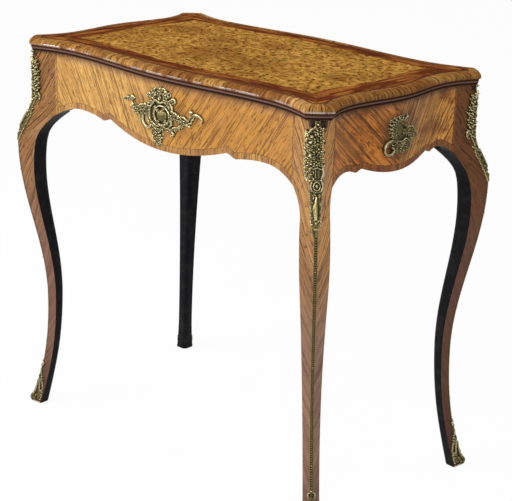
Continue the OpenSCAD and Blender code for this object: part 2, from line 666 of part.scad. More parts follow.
// Places cast ornament that is made flat, facing +Z, at the place at on the back or the right
// apron. It starts sunk behind the face, and what lies in the wood is cut away.
sunk = 6;
// Widths at which the two kinds are drawn below, and what they are enlarged by
large_drawn_w = 200;
small_drawn_w = 83;
large_k = large_mount_w / large_drawn_w;
small_k = small_mount_w / small_drawn_w;
module at_long(at)
    let (k = large_k)
    translate([-k * at.x, apron_face_y(k * at.x), under_z - large_mount_drop + k * at.y])
        rotate([90, 0, 180]) scale(k) children();
module at_short(at)
    let (k = small_k)
    translate([apron_face_x(k * at.x), k * at.x, under_z - small_mount_drop + k * at.y])
        rotate([90, 0, 90]) scale(k) children();

// Forms of the cast ornament, each standing proud of the wood in its middle. A leaf tapers both
// ways from its widest part and has a rounded back.
function leaf_pts(length, width, bend) =
    let (spine = function (t) length * t * [cos(bend * t), sin(bend * t)],
         wide = function (t) width / 2 * pow(sin(180 * pow(t, 0.8)), 0.8) + 0.3,
         across = function (t) [-sin(2 * bend * t), cos(2 * bend * t)])
    concat([for (i = [0:6]) spine(i / 6) + wide(i / 6) * across(i / 6)],
           [for (i = [6:-1:0]) spine(i / 6) - wide(i / 6) * across(i / 6)]);
module leaf(angle, length, width, proud, bend = 0)
    let (back_r = 0.7 * width)
    rotate([0, 0, angle]) intersection() {
        translate([0, 0, -sunk]) linear_extrude(sunk + proud) polygon(leaf_pts(length, width, bend));
        rotate([0, 0, 0.7 * bend]) translate([-2, 0, proud - back_r]) rotate([0, 90, 0])
            cylinder(r = back_r, h = length + 4, $fn = 48);
    }
// A round bar bent to an arc, with an eye at either end
module scroll(radius, from, turn, w, proud)
    translate([0, 0, proud - w / 2]) rotate([0, 0, from]) {
        rotate_extrude(angle = turn, $fn = 48) translate([radius, 0]) circle(d = w, $fn = 24);
        for (a = [0, turn]) rotate([0, 0, a]) translate([radius, 0, 0]) sphere(d = 1.5 * w, $fn = 24);
    }
module boss(r, proud) translate([0, 0, proud - r]) sphere(r = r, $fn = 24);
function oval_pts(at, rx, ry) = [for (a = [0:15:345]) at + [rx * cos(a), ry * sin(a)]];
module dome(rx, ry, proud, ball_r)
    intersection() {
        translate([0, 0, -sunk]) linear_extrude(sunk + proud) polygon(oval_pts([0, 0], rx, ry));
        translate([0, 0, proud - ball_r]) sphere(r = ball_r, $fn = 96);
    }

// Cartouche for a long apron: a domed shield in an oval rim between scrolls, with a crest of
// leaves, a pendant husk, festoons and two long leafy arms
module cartouche()
    color(bronze) difference() {
        t = large_mount_t / large_k;
        union() {
            at_long([0, 0]) dome(11.5, 10.5, t + 3, 25);
            at_long([0, 0]) translate([0, 0, -sunk]) linear_extrude(sunk + t) difference() {
                polygon(oval_pts([0, 0], 16, 15));
                polygon(oval_pts([0, 0], 10.5, 9.5));
            }
            at_long([0, 12]) leaf(90, 34, 15, t);
            at_long([-1, -12]) leaf(-90, 39, 17, 0.9 * t);
            at_long([0, -33]) boss(6, 1.1 * t);
            for (side = [0, 1]) mirror([side, 0, 0]) cartouche_half(t);
        }
        linear_extrude(under_z) polygon(concat(
            [for (p = apron_back_face) p + [0, seat_gap]], [[post_in_x, 0], [-post_in_x, 0]]));
    }
module cartouche_half(t) {
    at_long([16, -1]) scroll(13, -135, 250, 5, t);
    at_long([4, 15]) leaf(62, 31, 12, 0.8 * t, 8);
    at_long([8, 15]) leaf(22, 28, 11, 0.7 * t, 18);
    at_long([30, 32]) boss(4.5, t);
    at_long([13, 13]) leaf(-8, 40, 13, 0.9 * t, -6);
    at_long([31, -11]) scroll(12, -160, 230, 4.2, 0.8 * t);
    at_long([21, -19]) boss(4.5, 0.9 * t);
    at_long([16, -23]) leaf(12, 40, 9, 0.7 * t, 12);
    at_long([46, 5]) leaf(-10, 32, 12, 0.8 * t, 24);
    at_long([48, 4]) leaf(-22, 24, 9, 0.7 * t, -6);
    at_long([75, 16]) boss(5, t);
    at_long([71, 13]) leaf(12, 29, 9, 0.8 * t, -14);
    at_long([3, -16]) leaf(-68, 28, 10, 0.7 * t, -8);
}
module cartouche_back() cartouche();
module cartouche_front() rotate([0, 0, 180]) cartouche();

// Lopsided shell for a short apron: a plain domed field in a leafy rim, a looped scroll below it
// on one side and a leafy arm with a rosette on the other
module shell_mount()
    color(bronze) difference() {
        t = small_mount_t / small_k;
        field = [-5, 5];
        union() {
            at_short(field) dome(15, 14, 0.9 * t, 30);
            at_short(field) scroll(17, 20, 205, 4.6, t);
            for (a = [40:20:200]) at_short(field + 15 * [cos(a), sin(a)]) leaf(a, 14, 7.5, 0.8 * t);
            at_short(field + [6, 15]) leaf(60, 17, 8, 0.9 * t, 10);
            at_short([4, 4]) leaf(-12, 42, 14, 0.9 * t, -4);
            at_short([14, 8]) leaf(4, 20, 8, 0.7 * t, -16);
            at_short([37.5, -5.5]) boss(4.5, t);
            at_short([-28, -19]) scroll(8, -60, 300, 4.6, 0.9 * t);
            at_short([-24, -10]) leaf(-30, 44, 17, 0.8 * t, 16);
            at_short([-9, -12]) leaf(-96, 20, 9, 0.7 * t);
            at_short([11, -14]) boss(5, 1.1 * t);
            for (a = [0:60:300]) at_short([11, -14] + 6 * [cos(a), sin(a)]) boss(2.8, 0.7 * t);
            at_short([12, -13]) leaf(-8, 18, 8, 0.6 * t, 8);
        }
        linear_extrude(under_z) polygon(concat(
            [[0, post_in_y], [0, -post_in_y]], [for (p = apron_right_face) p + [seat_gap, 0]]));
    }
module shell_mount_right() shell_mount();
module shell_mount_left() rotate([0, 0, 180]) shell_mount();

top_board();
burr_panel();
band_front();
band_back();
band_left();
band_right();
top_line();
edge_front();
edge_back();
edge_left();
edge_right();
edge_corner_front_left();
edge_corner_front_right();
edge_corner_back_left();
edge_corner_back_right();
apron_front();
apron_back();
apron_left();
apron_right();
leg_front_left();
leg_front_right();
leg_back_left();
leg_back_right();
knee_mount_front_left();
knee_mount_front_right();
knee_mount_back_left();
knee_mount_back_right();
bead_strip_front_left();
bead_strip_front_right();
bead_strip_back_left();
bead_strip_back_right();
sabot_front_left();
sabot_front_right();
sabot_back_left();
sabot_back_right();
cartouche_front();
cartouche_back();
shell_mount_left();
shell_mount_right();
tenon_pegs();
glue_blocks();
top_screws();
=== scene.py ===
"""Looks of a serpentine centre table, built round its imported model. Metres, +Z up."""
import math

import bmesh
import bpy
import numpy as np
from mathutils import Matrix, Vector


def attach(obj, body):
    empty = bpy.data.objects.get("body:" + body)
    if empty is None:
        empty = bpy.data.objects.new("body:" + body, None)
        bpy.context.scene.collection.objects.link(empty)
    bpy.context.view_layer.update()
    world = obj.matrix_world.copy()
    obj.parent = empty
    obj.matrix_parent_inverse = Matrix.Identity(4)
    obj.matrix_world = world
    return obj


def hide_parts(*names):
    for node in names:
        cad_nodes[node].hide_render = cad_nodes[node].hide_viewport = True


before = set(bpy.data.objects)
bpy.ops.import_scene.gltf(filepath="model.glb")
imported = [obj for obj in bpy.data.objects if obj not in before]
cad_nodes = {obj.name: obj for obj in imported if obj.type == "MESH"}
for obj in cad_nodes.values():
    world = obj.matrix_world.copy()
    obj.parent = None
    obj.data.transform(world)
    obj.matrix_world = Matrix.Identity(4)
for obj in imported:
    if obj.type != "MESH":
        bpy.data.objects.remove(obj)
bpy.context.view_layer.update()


# The camera stands at the right-hand front corner, a little above the top, as the
# photograph was taken: a long lens, turned slightly to one side, with the near foot cut off.
camera_place = (1.70601, -1.73019, 1.24676)
camera_heading = math.radians(44.0)
camera_dip = math.radians(19.73)
camera_roll = math.radians(1.31)
lens = bpy.data.cameras.new("camera")
lens.lens = 96.88
lens.sensor_width = 36
lens.clip_end = 50
camera = bpy.data.objects.new("camera", lens)
bpy.context.scene.collection.objects.link(camera)
camera.rotation_mode = "QUATERNION"
camera.rotation_quaternion = (
    Matrix.Rotation(camera_heading, 3, "Z")
    @ Matrix.Rotation(math.pi / 2 - camera_dip, 3, "X")
    @ Matrix.Rotation(camera_roll, 3, "Z")
).to_quaternion()
camera.location = camera_place
bpy.context.scene.camera = camera
bpy.context.scene.view_settings.view_transform = "Standard"


# A pale studio: a white floor that keeps a faint shadow and a white surround. A broad soft lamp
# hangs over the front left corner, a long narrow one stands low at the left, a small one beside
# the camera on the right, and a long one hangs above the back.
def put(kind, inputs=None, **settings):
    """Adds a node to the tree in work. Sockets given as inputs are linked, and other inputs are set."""
    node = tree.nodes.new(kind)
    for key, value in settings.items():
        setattr(node, key, value)
    for key, value in (inputs or {}).items():
        if isinstance(value, bpy.types.NodeSocket):
            tree.links.new(value, node.inputs[key])
        else:
            node.inputs[key].default_value = value
    return node


def made(kind, inputs=None, **settings):
    """Adds a node and gives its first output."""
    return put(kind, inputs, **settings).outputs[0]


def calc(operation, *values):
    return made("ShaderNodeMath", dict(enumerate(values)), operation=operation)


def sign(operation, swapped):
    """What a plain sign between sockets and numbers adds to the tree."""
    return lambda one, other: calc(operation, *((other, one) if swapped else (one, other)))


for mark, operation in (("add", "ADD"), ("sub", "SUBTRACT"), ("mul", "MULTIPLY"), ("truediv", "DIVIDE")):
    setattr(bpy.types.NodeSocket, f"__{mark}__", sign(operation, False))
    setattr(bpy.types.NodeSocket, f"__r{mark}__", sign(operation, True))


def blank_material(name):
    """A new material. Its tree is the one in work from here on."""
    global tree
    material = bpy.data.materials.new(name)
    material.use_nodes = True
    tree = material.node_tree
    tree.nodes.clear()
    return material


def show(shader):
    put("ShaderNodeOutputMaterial", {"Surface": shader})


def seen_white():
    """1 for the rays of the camera and those that meet metal, glass or polish, 0 for the light itself."""
    rays = put("ShaderNodeLightPath").outputs
    seen = calc("MAXIMUM", rays["Is Camera Ray"], rays["Is Glossy Ray"])
    return calc("MAXIMUM", seen, rays["Is Transmission Ray"])


floor_material = blank_material("floor")
matt = made("ShaderNodeBsdfDiffuse", {"Color": (0.9, 0.9, 0.9, 1)})
glow = made("ShaderNodeEmission", {"Color": (1, 1, 1, 1), "Strength": 1})
glow_share = 0.955
show(made("ShaderNodeMixShader", {0: seen_white() * glow_share, 1: matt, 2: glow}))
bpy.ops.mesh.primitive_plane_add(size=12)
floor = bpy.context.object
floor.name = "floor"
floor.data.materials.append(floor_material)

world = bpy.data.worlds.new("studio")
bpy.context.scene.world = world
world.use_nodes = True
tree = world.node_tree
tree.nodes.clear()
ambient = made("ShaderNodeBackground", {"Color": (1, 1, 1, 1), "Strength": 0.42})
white = made("ShaderNodeBackground", {"Color": (1, 1, 1, 1), "Strength": 1})
surround = made("ShaderNodeMixShader", {0: seen_white(), 1: ambient, 2: white})
put("ShaderNodeOutputWorld", {"Surface": surround})

for name, place, aim_height, size, power in (
        ("key_lamp", (-1.2, -2.2, 2.3), 0.6, (1.8, 0.9), 40),
        ("strip_lamp", (-2.0, -1.9, 1.0), 0.7, (2.8, 0.2), 24),
        ("camera_lamp", (1.5, -2.0, 2.1), 0.6, (1.0, 0.3), 16),
        ("top_lamp", (0.2, 1.3, 2.6), 0.7, (2.2, 0.8), 12)):
    light = bpy.data.lights.new(name, "AREA")
    light.shape = "RECTANGLE"
    light.size, light.size_y = size
    light.energy = power
    lamp = bpy.data.objects.new(name, light)
    bpy.context.scene.collection.objects.link(lamp)
    lamp.location = place
    lamp.rotation_mode = "QUATERNION"
    lamp.rotation_quaternion = (Vector((0, 0, aim_height)) - Vector(place)).to_track_quat("-Z", "Y")


# Timber: what every veneer and board of this table shares. The grain group turns a place
# along and across the grain into stripes, dark lines and pores, which come out as masks.
def vector(x, y, z=0.0):
    return made("ShaderNodeCombineXYZ", {"X": x, "Y": y, "Z": z})


def parts_of(place):
    return put("ShaderNodeSeparateXYZ", {0: place}).outputs


def scaled(place, share):
    return made("ShaderNodeVectorMath", {0: place, 3: share}, operation="SCALE")


def moved(place, by):
    return made("ShaderNodeVectorMath", {0: place, 1: by}, operation="ADD")


def turned(u, v, cosine, sine, seed):
    """The place along and across a grain that is turned by an angle."""
    return vector(u * cosine + v * sine, v * cosine - u * sine, seed)


def object_place():
    return put("ShaderNodeTexCoord").outputs["Object"]


def named(attribute):
    return put("ShaderNodeAttribute", attribute_name=attribute).outputs["Vector"]


def noise(place, detail=3.0, roughness=0.55):
    return made("ShaderNodeTexNoise", {
        "Vector": place, "Scale": 1.0, "Detail": detail, "Roughness": roughness})


def ramp(value, low, high, kind="SMOOTHSTEP"):
    """0 below low and 1 above high, smooth between them."""
    return made("ShaderNodeMapRange", {"Value": value, "From Min": low, "From Max": high},
                interpolation_type=kind)


def blend(share, first, second):
    """A colour between two, which are sockets or plain colours."""
    node = put("ShaderNodeMix", {0: share}, data_type="RGBA")
    for socket, value in ((node.inputs[6], first), (node.inputs[7], second)):
        if isinstance(value, bpy.types.NodeSocket):
            tree.links.new(value, socket)
        else:
            socket.default_value = (*value, 1)
    return node.outputs[2]


def tinted(colour, *layers):
    """Lays tints over a colour, each given as its mask, its strength and its colour."""
    for mask, strength, tint in layers:
        colour = blend(mask * strength, colour, tint)
    return colour


grain_group = tree = bpy.data.node_groups.new("wood_grain", "ShaderNodeTree")
for label, kind in (("Place", "NodeSocketVector"), ("Stripes per Metre", "NodeSocketFloat"),
                    ("Waviness", "NodeSocketFloat")):
    tree.interface.new_socket(label, in_out="INPUT", socket_type=kind)
for label in ("Stripe", "Line", "Pore"):
    tree.interface.new_socket(label, in_out="OUTPUT", socket_type="NodeSocketFloat")
given, result = put("NodeGroupInput").outputs, put("NodeGroupOutput").inputs
along, across, seed = parts_of(given["Place"])
per_metre = given["Stripes per Metre"]
across = across + (noise(vector(along * 9, across * 22, seed), 2) - 0.5) * given["Waviness"]
fine = across * (per_metre * 3.2)
stripe = noise(vector(along * 4, across * per_metre, seed), 4, 0.65)
lines = noise(vector(along * 9, fine, seed), 3, 0.6)
dashes = noise(vector(along * 75, fine, seed + 9.0), 2, 0.5)
pores = noise(vector(along * 110, across * 1500, seed), 2, 0.5)
tree.links.new(ramp(stripe, 0.3, 0.7), result["Stripe"])
tree.links.new(calc("MAXIMUM", ramp(lines, 0.53, 0.62), ramp(dashes, 0.56, 0.68)), result["Line"])
tree.links.new(ramp(pores, 0.55, 0.72), result["Pore"])


def grain_at(place, stripes, waviness=0.004):
    """Stripe, line and pore masks at a place given as along, across and seed."""
    return put("ShaderNodeGroup", {"Place": place, "Stripes per Metre": stripes, "Waviness": waviness},
               node_tree=grain_group).outputs


def polished(colour, pore, roughness=0.36, coat=0.0, depth=0.00012, gloss=0.12, coat_ior=1.5):
    """Waxed and polished wood: the pores lie a little deeper and duller than the rest."""
    smudge = noise(scaled(object_place(), 14))
    bump = made("ShaderNodeBump", {"Height": 1.0 - pore, "Strength": 0.5, "Distance": depth})
    show(made("ShaderNodeBsdfPrincipled", {
        "Base Color": colour, "Roughness": roughness + pore * 0.14 + (smudge - 0.5) * 0.22, "Normal": bump,
        "Coat Weight": coat, "Coat Roughness": 0.06, "Coat IOR": coat_ior, "Specular IOR Level": gloss}))


def dress(node_name, material):
    """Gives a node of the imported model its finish."""
    materials = cad_nodes[node_name].data.materials
    materials.clear()
    materials.append(material)


# The oak board under the veneers, with the glue blocks and pegs that nobody sees from above.
# Bare, dusty oak with a coarse open grain along the length.
bare_oak = blank_material("bare_oak")
stripe, _, pore = grain_at(object_place(), 60)
colour = tinted((0.30, 0.20, 0.11), (stripe, 1.0, (0.20, 0.125, 0.065)), (pore, 0.6, (0.09, 0.055, 0.03)))
polished(colour, pore, roughness=0.7, depth=0.0002)
for name in ("top_board", "glue_blocks", "tenon_pegs"):
    dress(name, bare_oak)


# Iron screws that hold the top: dull grey, turned, with brown tarnish in patches.
dull_iron = blank_material("dull_iron")
brown = ramp(noise(scaled(object_place(), 400), 4), 0.45, 0.65)
show(made("ShaderNodeBsdfPrincipled", {
    "Base Color": blend(brown, (0.30, 0.29, 0.28), (0.14, 0.08, 0.045)), "Metallic": 1.0 - brown * 0.7,
    "Roughness": 0.42 + brown * 0.3}))
dress("top_screws", dull_iron)


# Outline of the table in plan. Each side swells in the middle, falls back into a hollow either
# side of it and sweeps out to a canted corner, and everything below the top follows it.
half_length, half_depth, table_height, top_thick = 0.376, 0.221, 0.750, 0.023
corner_cut = 0.034
under_top = table_height - top_thick
long_swell, long_hollow, long_dip = 0.015, 0.023, 0.235
short_swell, short_hollow, short_dip = 0.012, 0.021, 0.115


def ease(t):
    return (1 - np.cos(np.pi * np.clip(t, 0, 1))) / 2


def serpentine(a, hollow, swell, dip, end, end_level):
    a = np.abs(a)
    return np.where(a < dip, hollow + swell * ease(1 - a / dip),
                    hollow + (end_level - hollow) * (np.maximum(a - dip, 0) / (end - dip)) ** 2)


def long_side(x, inset, corner):
    return serpentine(x, half_depth - long_hollow - inset, long_swell, long_dip, corner[0], corner[1])


def short_side(y, inset, corner):
    return serpentine(y, half_length - short_hollow - inset, short_swell, short_dip, corner[1], corner[0])


# The four aprons: beech or oak boards bent to the outline and veneered, tenoned to the legs.
# A panel of tulipwood with its grain in a V fills each, with cross-cut bands along the lower
# edge and at both ends. The edge has a bowed middle, small drops and an arch into either leg.
post_in = 0.0035
post_cut = 0.016
post_x = half_length - corner_cut / 2 + post_cut / 2 - post_in
post_y = half_depth - corner_cut / 2 + post_cut / 2 - post_in
post_in_x, post_in_y = post_x - 0.0615, post_y - 0.051
apron_in, apron_thick, apron_end = 0.010, 0.022, 0.117
long_corner, short_corner = (post_x - post_cut, post_y), (post_x, post_y - post_cut)
arch_z = under_top - apron_end
band_wide, string_half = 0.0112, 0.00035
cross_cut = math.cos(1.0), math.sin(1.0)


def fit(piece, slot, *replaced):
    """The piece rides on the table's one body and stands for these nodes of the model."""
    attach(piece, "root")
    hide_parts(*replaced)


def where(share, first, second):
    return put("ShaderNodeMix", {0: share, 4: first, 5: second}, data_type="VECTOR").outputs[1]


def near(value, middle, reach):
    return calc("COMPARE", value, middle, reach)


def framed_veneer(name, panel_end, post, slants, halves, border, flame, contrast, mount, mount_darkening, seed):
    """Tulipwood in a V inside bands. Reads the attribute veneer: along, height, rise over the edge."""
    material = blank_material(name)
    a, z, rise = parts_of(named("veneer"))
    out, side = calc("ABSOLUTE", a), calc("SIGN", a)
    left_slant, right_slant = (math.radians(slant) for slant in slants)
    slant = side * ((right_slant - left_slant) / 2) + (left_slant + right_slant) / 2
    in_low = calc("LESS_THAN", rise, band_wide)
    in_end = calc("GREATER_THAN", out, panel_end)
    panel = turned(out, z, calc("COSINE", slant), calc("SINE", slant), seed + side * 0.35)
    end = turned(post - out, z, *cross_cut, seed + 3.0)
    place = where(in_low, where(in_end, panel, end), vector(rise, a, seed + 5.0))
    stripe, line, pore = grain_at(place, 115, 0.006)

    cuts = noise(vector(a * 16, seed), 3, 0.6)
    cut_colour = blend(ramp(cuts, 0.42, 0.58), *border)
    blaze = noise(vector(a * 26, z * 34, seed), 4, 0.6)
    below_top = under_top - z
    light = blend(calc("MAXIMUM", in_low, in_end), blend(ramp(side, -1, 1), *halves), cut_colour)
    # Painted shade under the moulding: a mauve tint fades in over the top 18 mm of the apron.
    light = tinted(light, (ramp(below_top, 0.018, 0.006), 0.4, (0.50, 0.27, 0.15)),
                   (ramp(blaze, 0.46, 0.66), contrast, flame))
    dark = blend(contrast, light, (0.16, 0.055, 0.014))
    cloud = noise(vector(a * 11, z * 14, seed))

    butted = near(calc("FRACT", a * 17 + 0.3), 0.5, 0.008)
    strings = calc("MAXIMUM", near(rise, band_wide, string_half), butted * in_low) * (1.0 - in_end)
    strings = calc("MAXIMUM", strings, near(out, panel_end, string_half))
    seam = near(out, 0.0, string_half) * calc("GREATER_THAN", rise, band_wide)
    mount_wide, mount_high, mount_z = mount
    from_mount = put("ShaderNodeVectorMath", {0: vector(a / mount_wide, (z - mount_z) / mount_high)},
                     operation="LENGTH").outputs["Value"]
    colour = tinted(
        blend(stripe, light, dark), (line, 0.55 + 0.4 * contrast, (0.050, 0.016, 0.006)),
        (ramp(cloud, 0.35, 0.75), 0.35, (0.42, 0.19, 0.06)),
        (calc("MAXIMUM", strings, seam), 0.75, (0.035, 0.014, 0.007)),
        # Painted shade: darker still over the top 12 mm, right under the moulding.
        (ramp(below_top, 0.012, 0.0), 0.6, (0.05, 0.02, 0.01)),
        # Darker round the mount.
        (ramp(from_mount, 1.25, 0.75), mount_darkening, (0.06, 0.022, 0.010)))
    polished(colour, pore)
    return material


black_stain = blank_material("black_stain")
scuff = ramp(noise(scaled(object_place(), 60), 4), 0.45, 0.8)
open_pore = ramp(noise(scaled(object_place(), 700), 2), 0.5, 0.7)
polished(blend(scuff, (0.0065, 0.006, 0.0075), (0.022, 0.019, 0.02)), open_pore, 0.42, gloss=0.06)

long_veneer = framed_veneer(
    "long_veneer", 0.297, post_x, slants=(60, 54), halves=((0.74, 0.42, 0.115), (0.66, 0.31, 0.060)),
    border=((0.36, 0.17, 0.07), (0.66, 0.36, 0.11)), flame=(0.50, 0.24, 0.065), contrast=0.45,
    mount=(0.070, 0.036, 0.668), mount_darkening=0.3, seed=1.0)
short_veneer = framed_veneer(
    "short_veneer", 0.154, post_y, slants=(42, 60), halves=((0.84, 0.29, 0.045), (0.90, 0.41, 0.085)),
    border=((0.30, 0.09, 0.026), (0.50, 0.20, 0.05)), flame=(0.30, 0.070, 0.014), contrast=0.85,
    mount=(0.040, 0.042, 0.672), mount_darkening=0.5, seed=11.0)


def new_tree(name, kinds):
    """A tree of geometry nodes, in work from here on, with its named inputs and its result."""
    global tree
    tree = bpy.data.node_groups.new(name, "GeometryNodeTree")
    for direction in ("INPUT", "OUTPUT"):
        tree.interface.new_socket("Geometry", in_out=direction, socket_type="NodeSocketGeometry")
    for kind, labels in kinds.items():
        for label in labels:
            tree.interface.new_socket(label, in_out="INPUT", socket_type="NodeSocket" + kind)
    return put("NodeGroupInput").outputs, put("NodeGroupOutput").inputs["Geometry"]


def shaped(kind, shape=None, **inputs):
    """Adds a geometry node with its inputs by name, the shape that it works on as its first."""
    values = {label.replace("_", " "): value for label, value in inputs.items()}
    if shape is not None:
        values[0] = shape
    return made("GeometryNode" + kind, values)


def noted(shape, attribute, value):
    """Keeps a vector at every point of a shape under a name."""
    return made("GeometryNodeStoreNamedAttribute", {"Geometry": shape, "Name": attribute, "Value": value},
                data_type="FLOAT_VECTOR", domain="POINT")


def joined(shapes):
    node = put("GeometryNodeJoinGeometry")
    for shape in shapes:
        tree.links.new(shape, node.inputs[0])
    return node.outputs[0]


def grow(name, start, values):
    """Runs the tree in work on a starting mesh with its inputs set, and gives the plain mesh object."""
    base = bpy.data.objects.new(name + "_base", start)
    bpy.context.scene.collection.objects.link(base)
    modifier = base.modifiers.new("nodes", "NODES")
    modifier.node_group = tree
    for item in tree.interface.items_tree:
        if item.in_out == "INPUT" and item.name in values:
            modifier[item.identifier] = values[item.name]
    bpy.context.view_layer.update()
    mesh = bpy.data.meshes.new_from_object(base.evaluated_get(bpy.context.evaluated_depsgraph_get()))
    bpy.data.objects.remove(base)
    mesh.name = name
    piece = bpy.data.objects.new(name, mesh)
    bpy.context.scene.collection.objects.link(piece)
    return piece


def way(value, low, high):
    """Share of the way from low to high, from 0 to 1."""
    return ramp(value, low, high, "LINEAR")


apron_sizes = (
    "Half Length", "Top Level", "Thickness", "Hollow Level", "Swell", "Swell Reach", "Corner Place",
    "Corner Level", "Middle Depth", "Cusp Place", "Cusp Depth", "Drop Place", "Drop Depth", "Crown Place",
    "Crown Depth", "End Depth")
given, result = new_tree("serpentine_apron", {
    "Float": apron_sizes, "Int": ("Columns", "Rows"), "Vector": ("Along", "Outward"),
    "Material": ("Veneer", "Stain")})
(half, top, thick, hollow, swell, reach, corner, corner_out, middle_low, cusp, cusp_low, drop, drop_low,
 crown, crown_low, end_low) = (given[label] for label in apron_sizes)
net = shaped("MeshGrid", Size_X=half * 2.0, Size_Y=1.0, Vertices_X=given["Columns"],
             Vertices_Y=given["Rows"])
net_a, net_share, _ = parts_of(shaped("InputPosition"))
off_middle = calc("ABSOLUTE", net_a)
wave = calc("COSINE", way(off_middle, reach, 0.0) * math.pi)
to_corner = way(off_middle, reach, corner)
level = hollow + swell * ((1.0 - wave) * 0.5) + (corner_out - hollow) * (to_corner * to_corner)

sag = middle_low - cusp_low
radius = (cusp * cusp + sag * sag) / (sag * 2.0)
in_bow = calc("MINIMUM", off_middle, cusp)
bow = calc("SQRT", radius * radius - in_bow * in_bow)
nick = (drop_low - cusp_low) * way(off_middle, cusp, drop)
to_drop = way(off_middle, crown, drop)
arch = (crown_low - drop_low) * (1.0 - to_drop * to_drop)
to_end = way(off_middle, crown, half)
sweep = (end_low - crown_low) * (to_end * to_end)
depth = (middle_low - radius) + bow + nick + arch + sweep
rise = depth * (net_share + 0.5)
height = (top - depth) + rise

on_line = moved(scaled(given["Along"], net_a), scaled(given["Outward"], level))
spot = moved(on_line, vector(0.0, 0.0, height))
hand = put("ShaderNodeVectorMath", {0: given["Along"], 1: (1, 1, 1)}, operation="DOT_PRODUCT").outputs[1]
face = shaped("SetPosition", noted(net, "veneer", vector(net_a * hand, height, rise)), Position=spot)
board = put("GeometryNodeExtrudeMesh", {
    "Mesh": face, "Offset": given["Outward"], "Offset Scale": thick * -1.0, "Individual": False}).outputs
closed = shaped("MergeByDistance", joined([board["Mesh"], shaped("FlipFaces", face)]), Distance=1e-6)
veneered = shaped("SetMaterial", shaped("RealizeInstances", closed), Material=given["Veneer"])
inner = made("FunctionNodeBooleanMath", {0: board["Top"], 1: board["Side"]}, operation="OR")
tree.links.new(shaped("SetMaterial", veneered, Selection=inner, Material=given["Stain"]), result)

long_apron = {
    "Half Length": post_in_x, "Columns": 605, "Hollow Level": half_depth - long_hollow - apron_in,
    "Swell": long_swell, "Swell Reach": long_dip, "Corner Place": long_corner[0],
    "Corner Level": long_corner[1], "Middle Depth": 0.121, "Cusp Place": 0.149, "Cusp Depth": 0.0955,
    "Drop Place": 0.168, "Drop Depth": 0.103, "Crown Place": 0.232, "Crown Depth": 0.0955,
    "Veneer": long_veneer}
short_apron = {
    "Half Length": post_in_y, "Columns": 631, "Hollow Level": half_length - short_hollow - apron_in,
    "Swell": short_swell, "Swell Reach": short_dip, "Corner Place": short_corner[1],
    "Corner Level": short_corner[0], "Middle Depth": 0.1165, "Cusp Place": 0.083, "Cusp Depth": 0.100,
    "Drop Place": 0.096, "Drop Depth": 0.105, "Crown Place": 0.118, "Crown Depth": 0.0995,
    "Veneer": short_veneer}
for place, sizes, along, outward in (
        ("front", long_apron, (-1, 0, 0), (0, -1, 0)), ("back", long_apron, (1, 0, 0), (0, 1, 0)),
        ("left", short_apron, (0, 1, 0), (-1, 0, 0)), ("right", short_apron, (0, -1, 0), (1, 0, 0))):
    piece = grow(place + "_apron", bpy.data.meshes.new(place), {
        "Top Level": under_top, "Thickness": apron_thick, "Rows": 9, "End Depth": apron_end,
        "Along": Vector(along), "Outward": Vector(outward), "Stain": black_stain, **sizes})
    piece.data.shade_smooth()
    piece.data.set_sharp_from_angle(angle=math.radians(32))
    fit(piece, "tulipwood", "apron_" + place)


# The cabriole legs: solid, sawn and shaped, veneered on the two outer faces and stained black
# on the inner ones. Each swells at the knee, slims above the ankle and turns out to a small
# foot, and its post is cut back across the corner for the knee mount.
arris_cut, knee_out, ankle_in, foot_out, foot_lean = 0.0034, 0.0185, 0.0145, 0.013, 0.009
knee_wide, slim_wide, foot_wide = 0.044, 0.022, 0.026
ankle_z, slim_z = 0.235, 0.090
knee_top_z, knee_z, cant_z = under_top - 0.087, under_top - 0.179, under_top - 0.0435
arch_start_z = arch_z - 0.048
rise_fades, foot_rise, foot_turn = 0.170, 0.002, 2.2


def new_piece(name, points, faces, finish, materials, attribute, values, sharp):
    """A closed mesh at its place, with its finishes and a named value at each of its points."""
    mesh = bpy.data.meshes.new(name)
    mesh.from_pydata(np.asarray(points, float).tolist(), [], faces)
    data = mesh.attributes.new(attribute, "FLOAT_VECTOR", "POINT").data
    data.foreach_set("vector", np.asarray(values, float).ravel())
    for material in materials:
        mesh.materials.append(material)
    mesh.polygons.foreach_set("material_index", finish)
    mesh.validate()
    form = bmesh.new()
    form.from_mesh(mesh)
    bmesh.ops.remove_doubles(form, verts=form.verts, dist=1e-6)
    bmesh.ops.dissolve_degenerate(form, edges=form.edges, dist=1e-7)
    bmesh.ops.recalc_face_normals(form, faces=form.faces)
    form.to_mesh(mesh)
    form.free()
    mesh.shade_smooth()
    mesh.set_sharp_from_angle(angle=math.radians(sharp))
    piece = bpy.data.objects.new(name, mesh)
    bpy.context.scene.collection.objects.link(piece)
    return piece


def mix(first, second, t):
    return first + (second - first) * t


def leg_bow(z):
    return np.select(
        [z >= knee_z, z >= ankle_z],
        [knee_out * ease((knee_top_z - z) / (knee_top_z - knee_z)),
         mix(-ankle_in, knee_out, ease((z - ankle_z) / (knee_z - ankle_z)))],
        mix(-ankle_in, foot_out, np.maximum(1 - z / ankle_z, 0) ** foot_turn))


def leg_corner(z):
    """Where the two outer faces of a leg would meet, as two arrays."""
    lean = foot_lean * np.clip(1 - z / knee_z, 0, 1)
    return post_x + leg_bow(z) + lean, post_y + leg_bow(z) - lean


def leg_width(z):
    slim = np.clip(1 - z / slim_z, 0, 1) ** 2
    rise = np.clip((z - slim_z) / (arch_start_z - slim_z), 0, 1) ** 2
    return np.where(z < slim_z, mix(slim_wide, foot_wide, slim), mix(slim_wide, knee_wide, rise))


def leg_inner(z, outer, outer_at_arch, post):
    bend = np.clip((z - arch_start_z) / (arch_z - arch_start_z), 0, 1) ** 2
    return np.where(z >= arch_z, post, outer - leg_width(z) - (outer_at_arch - knee_wide - post) * bend)


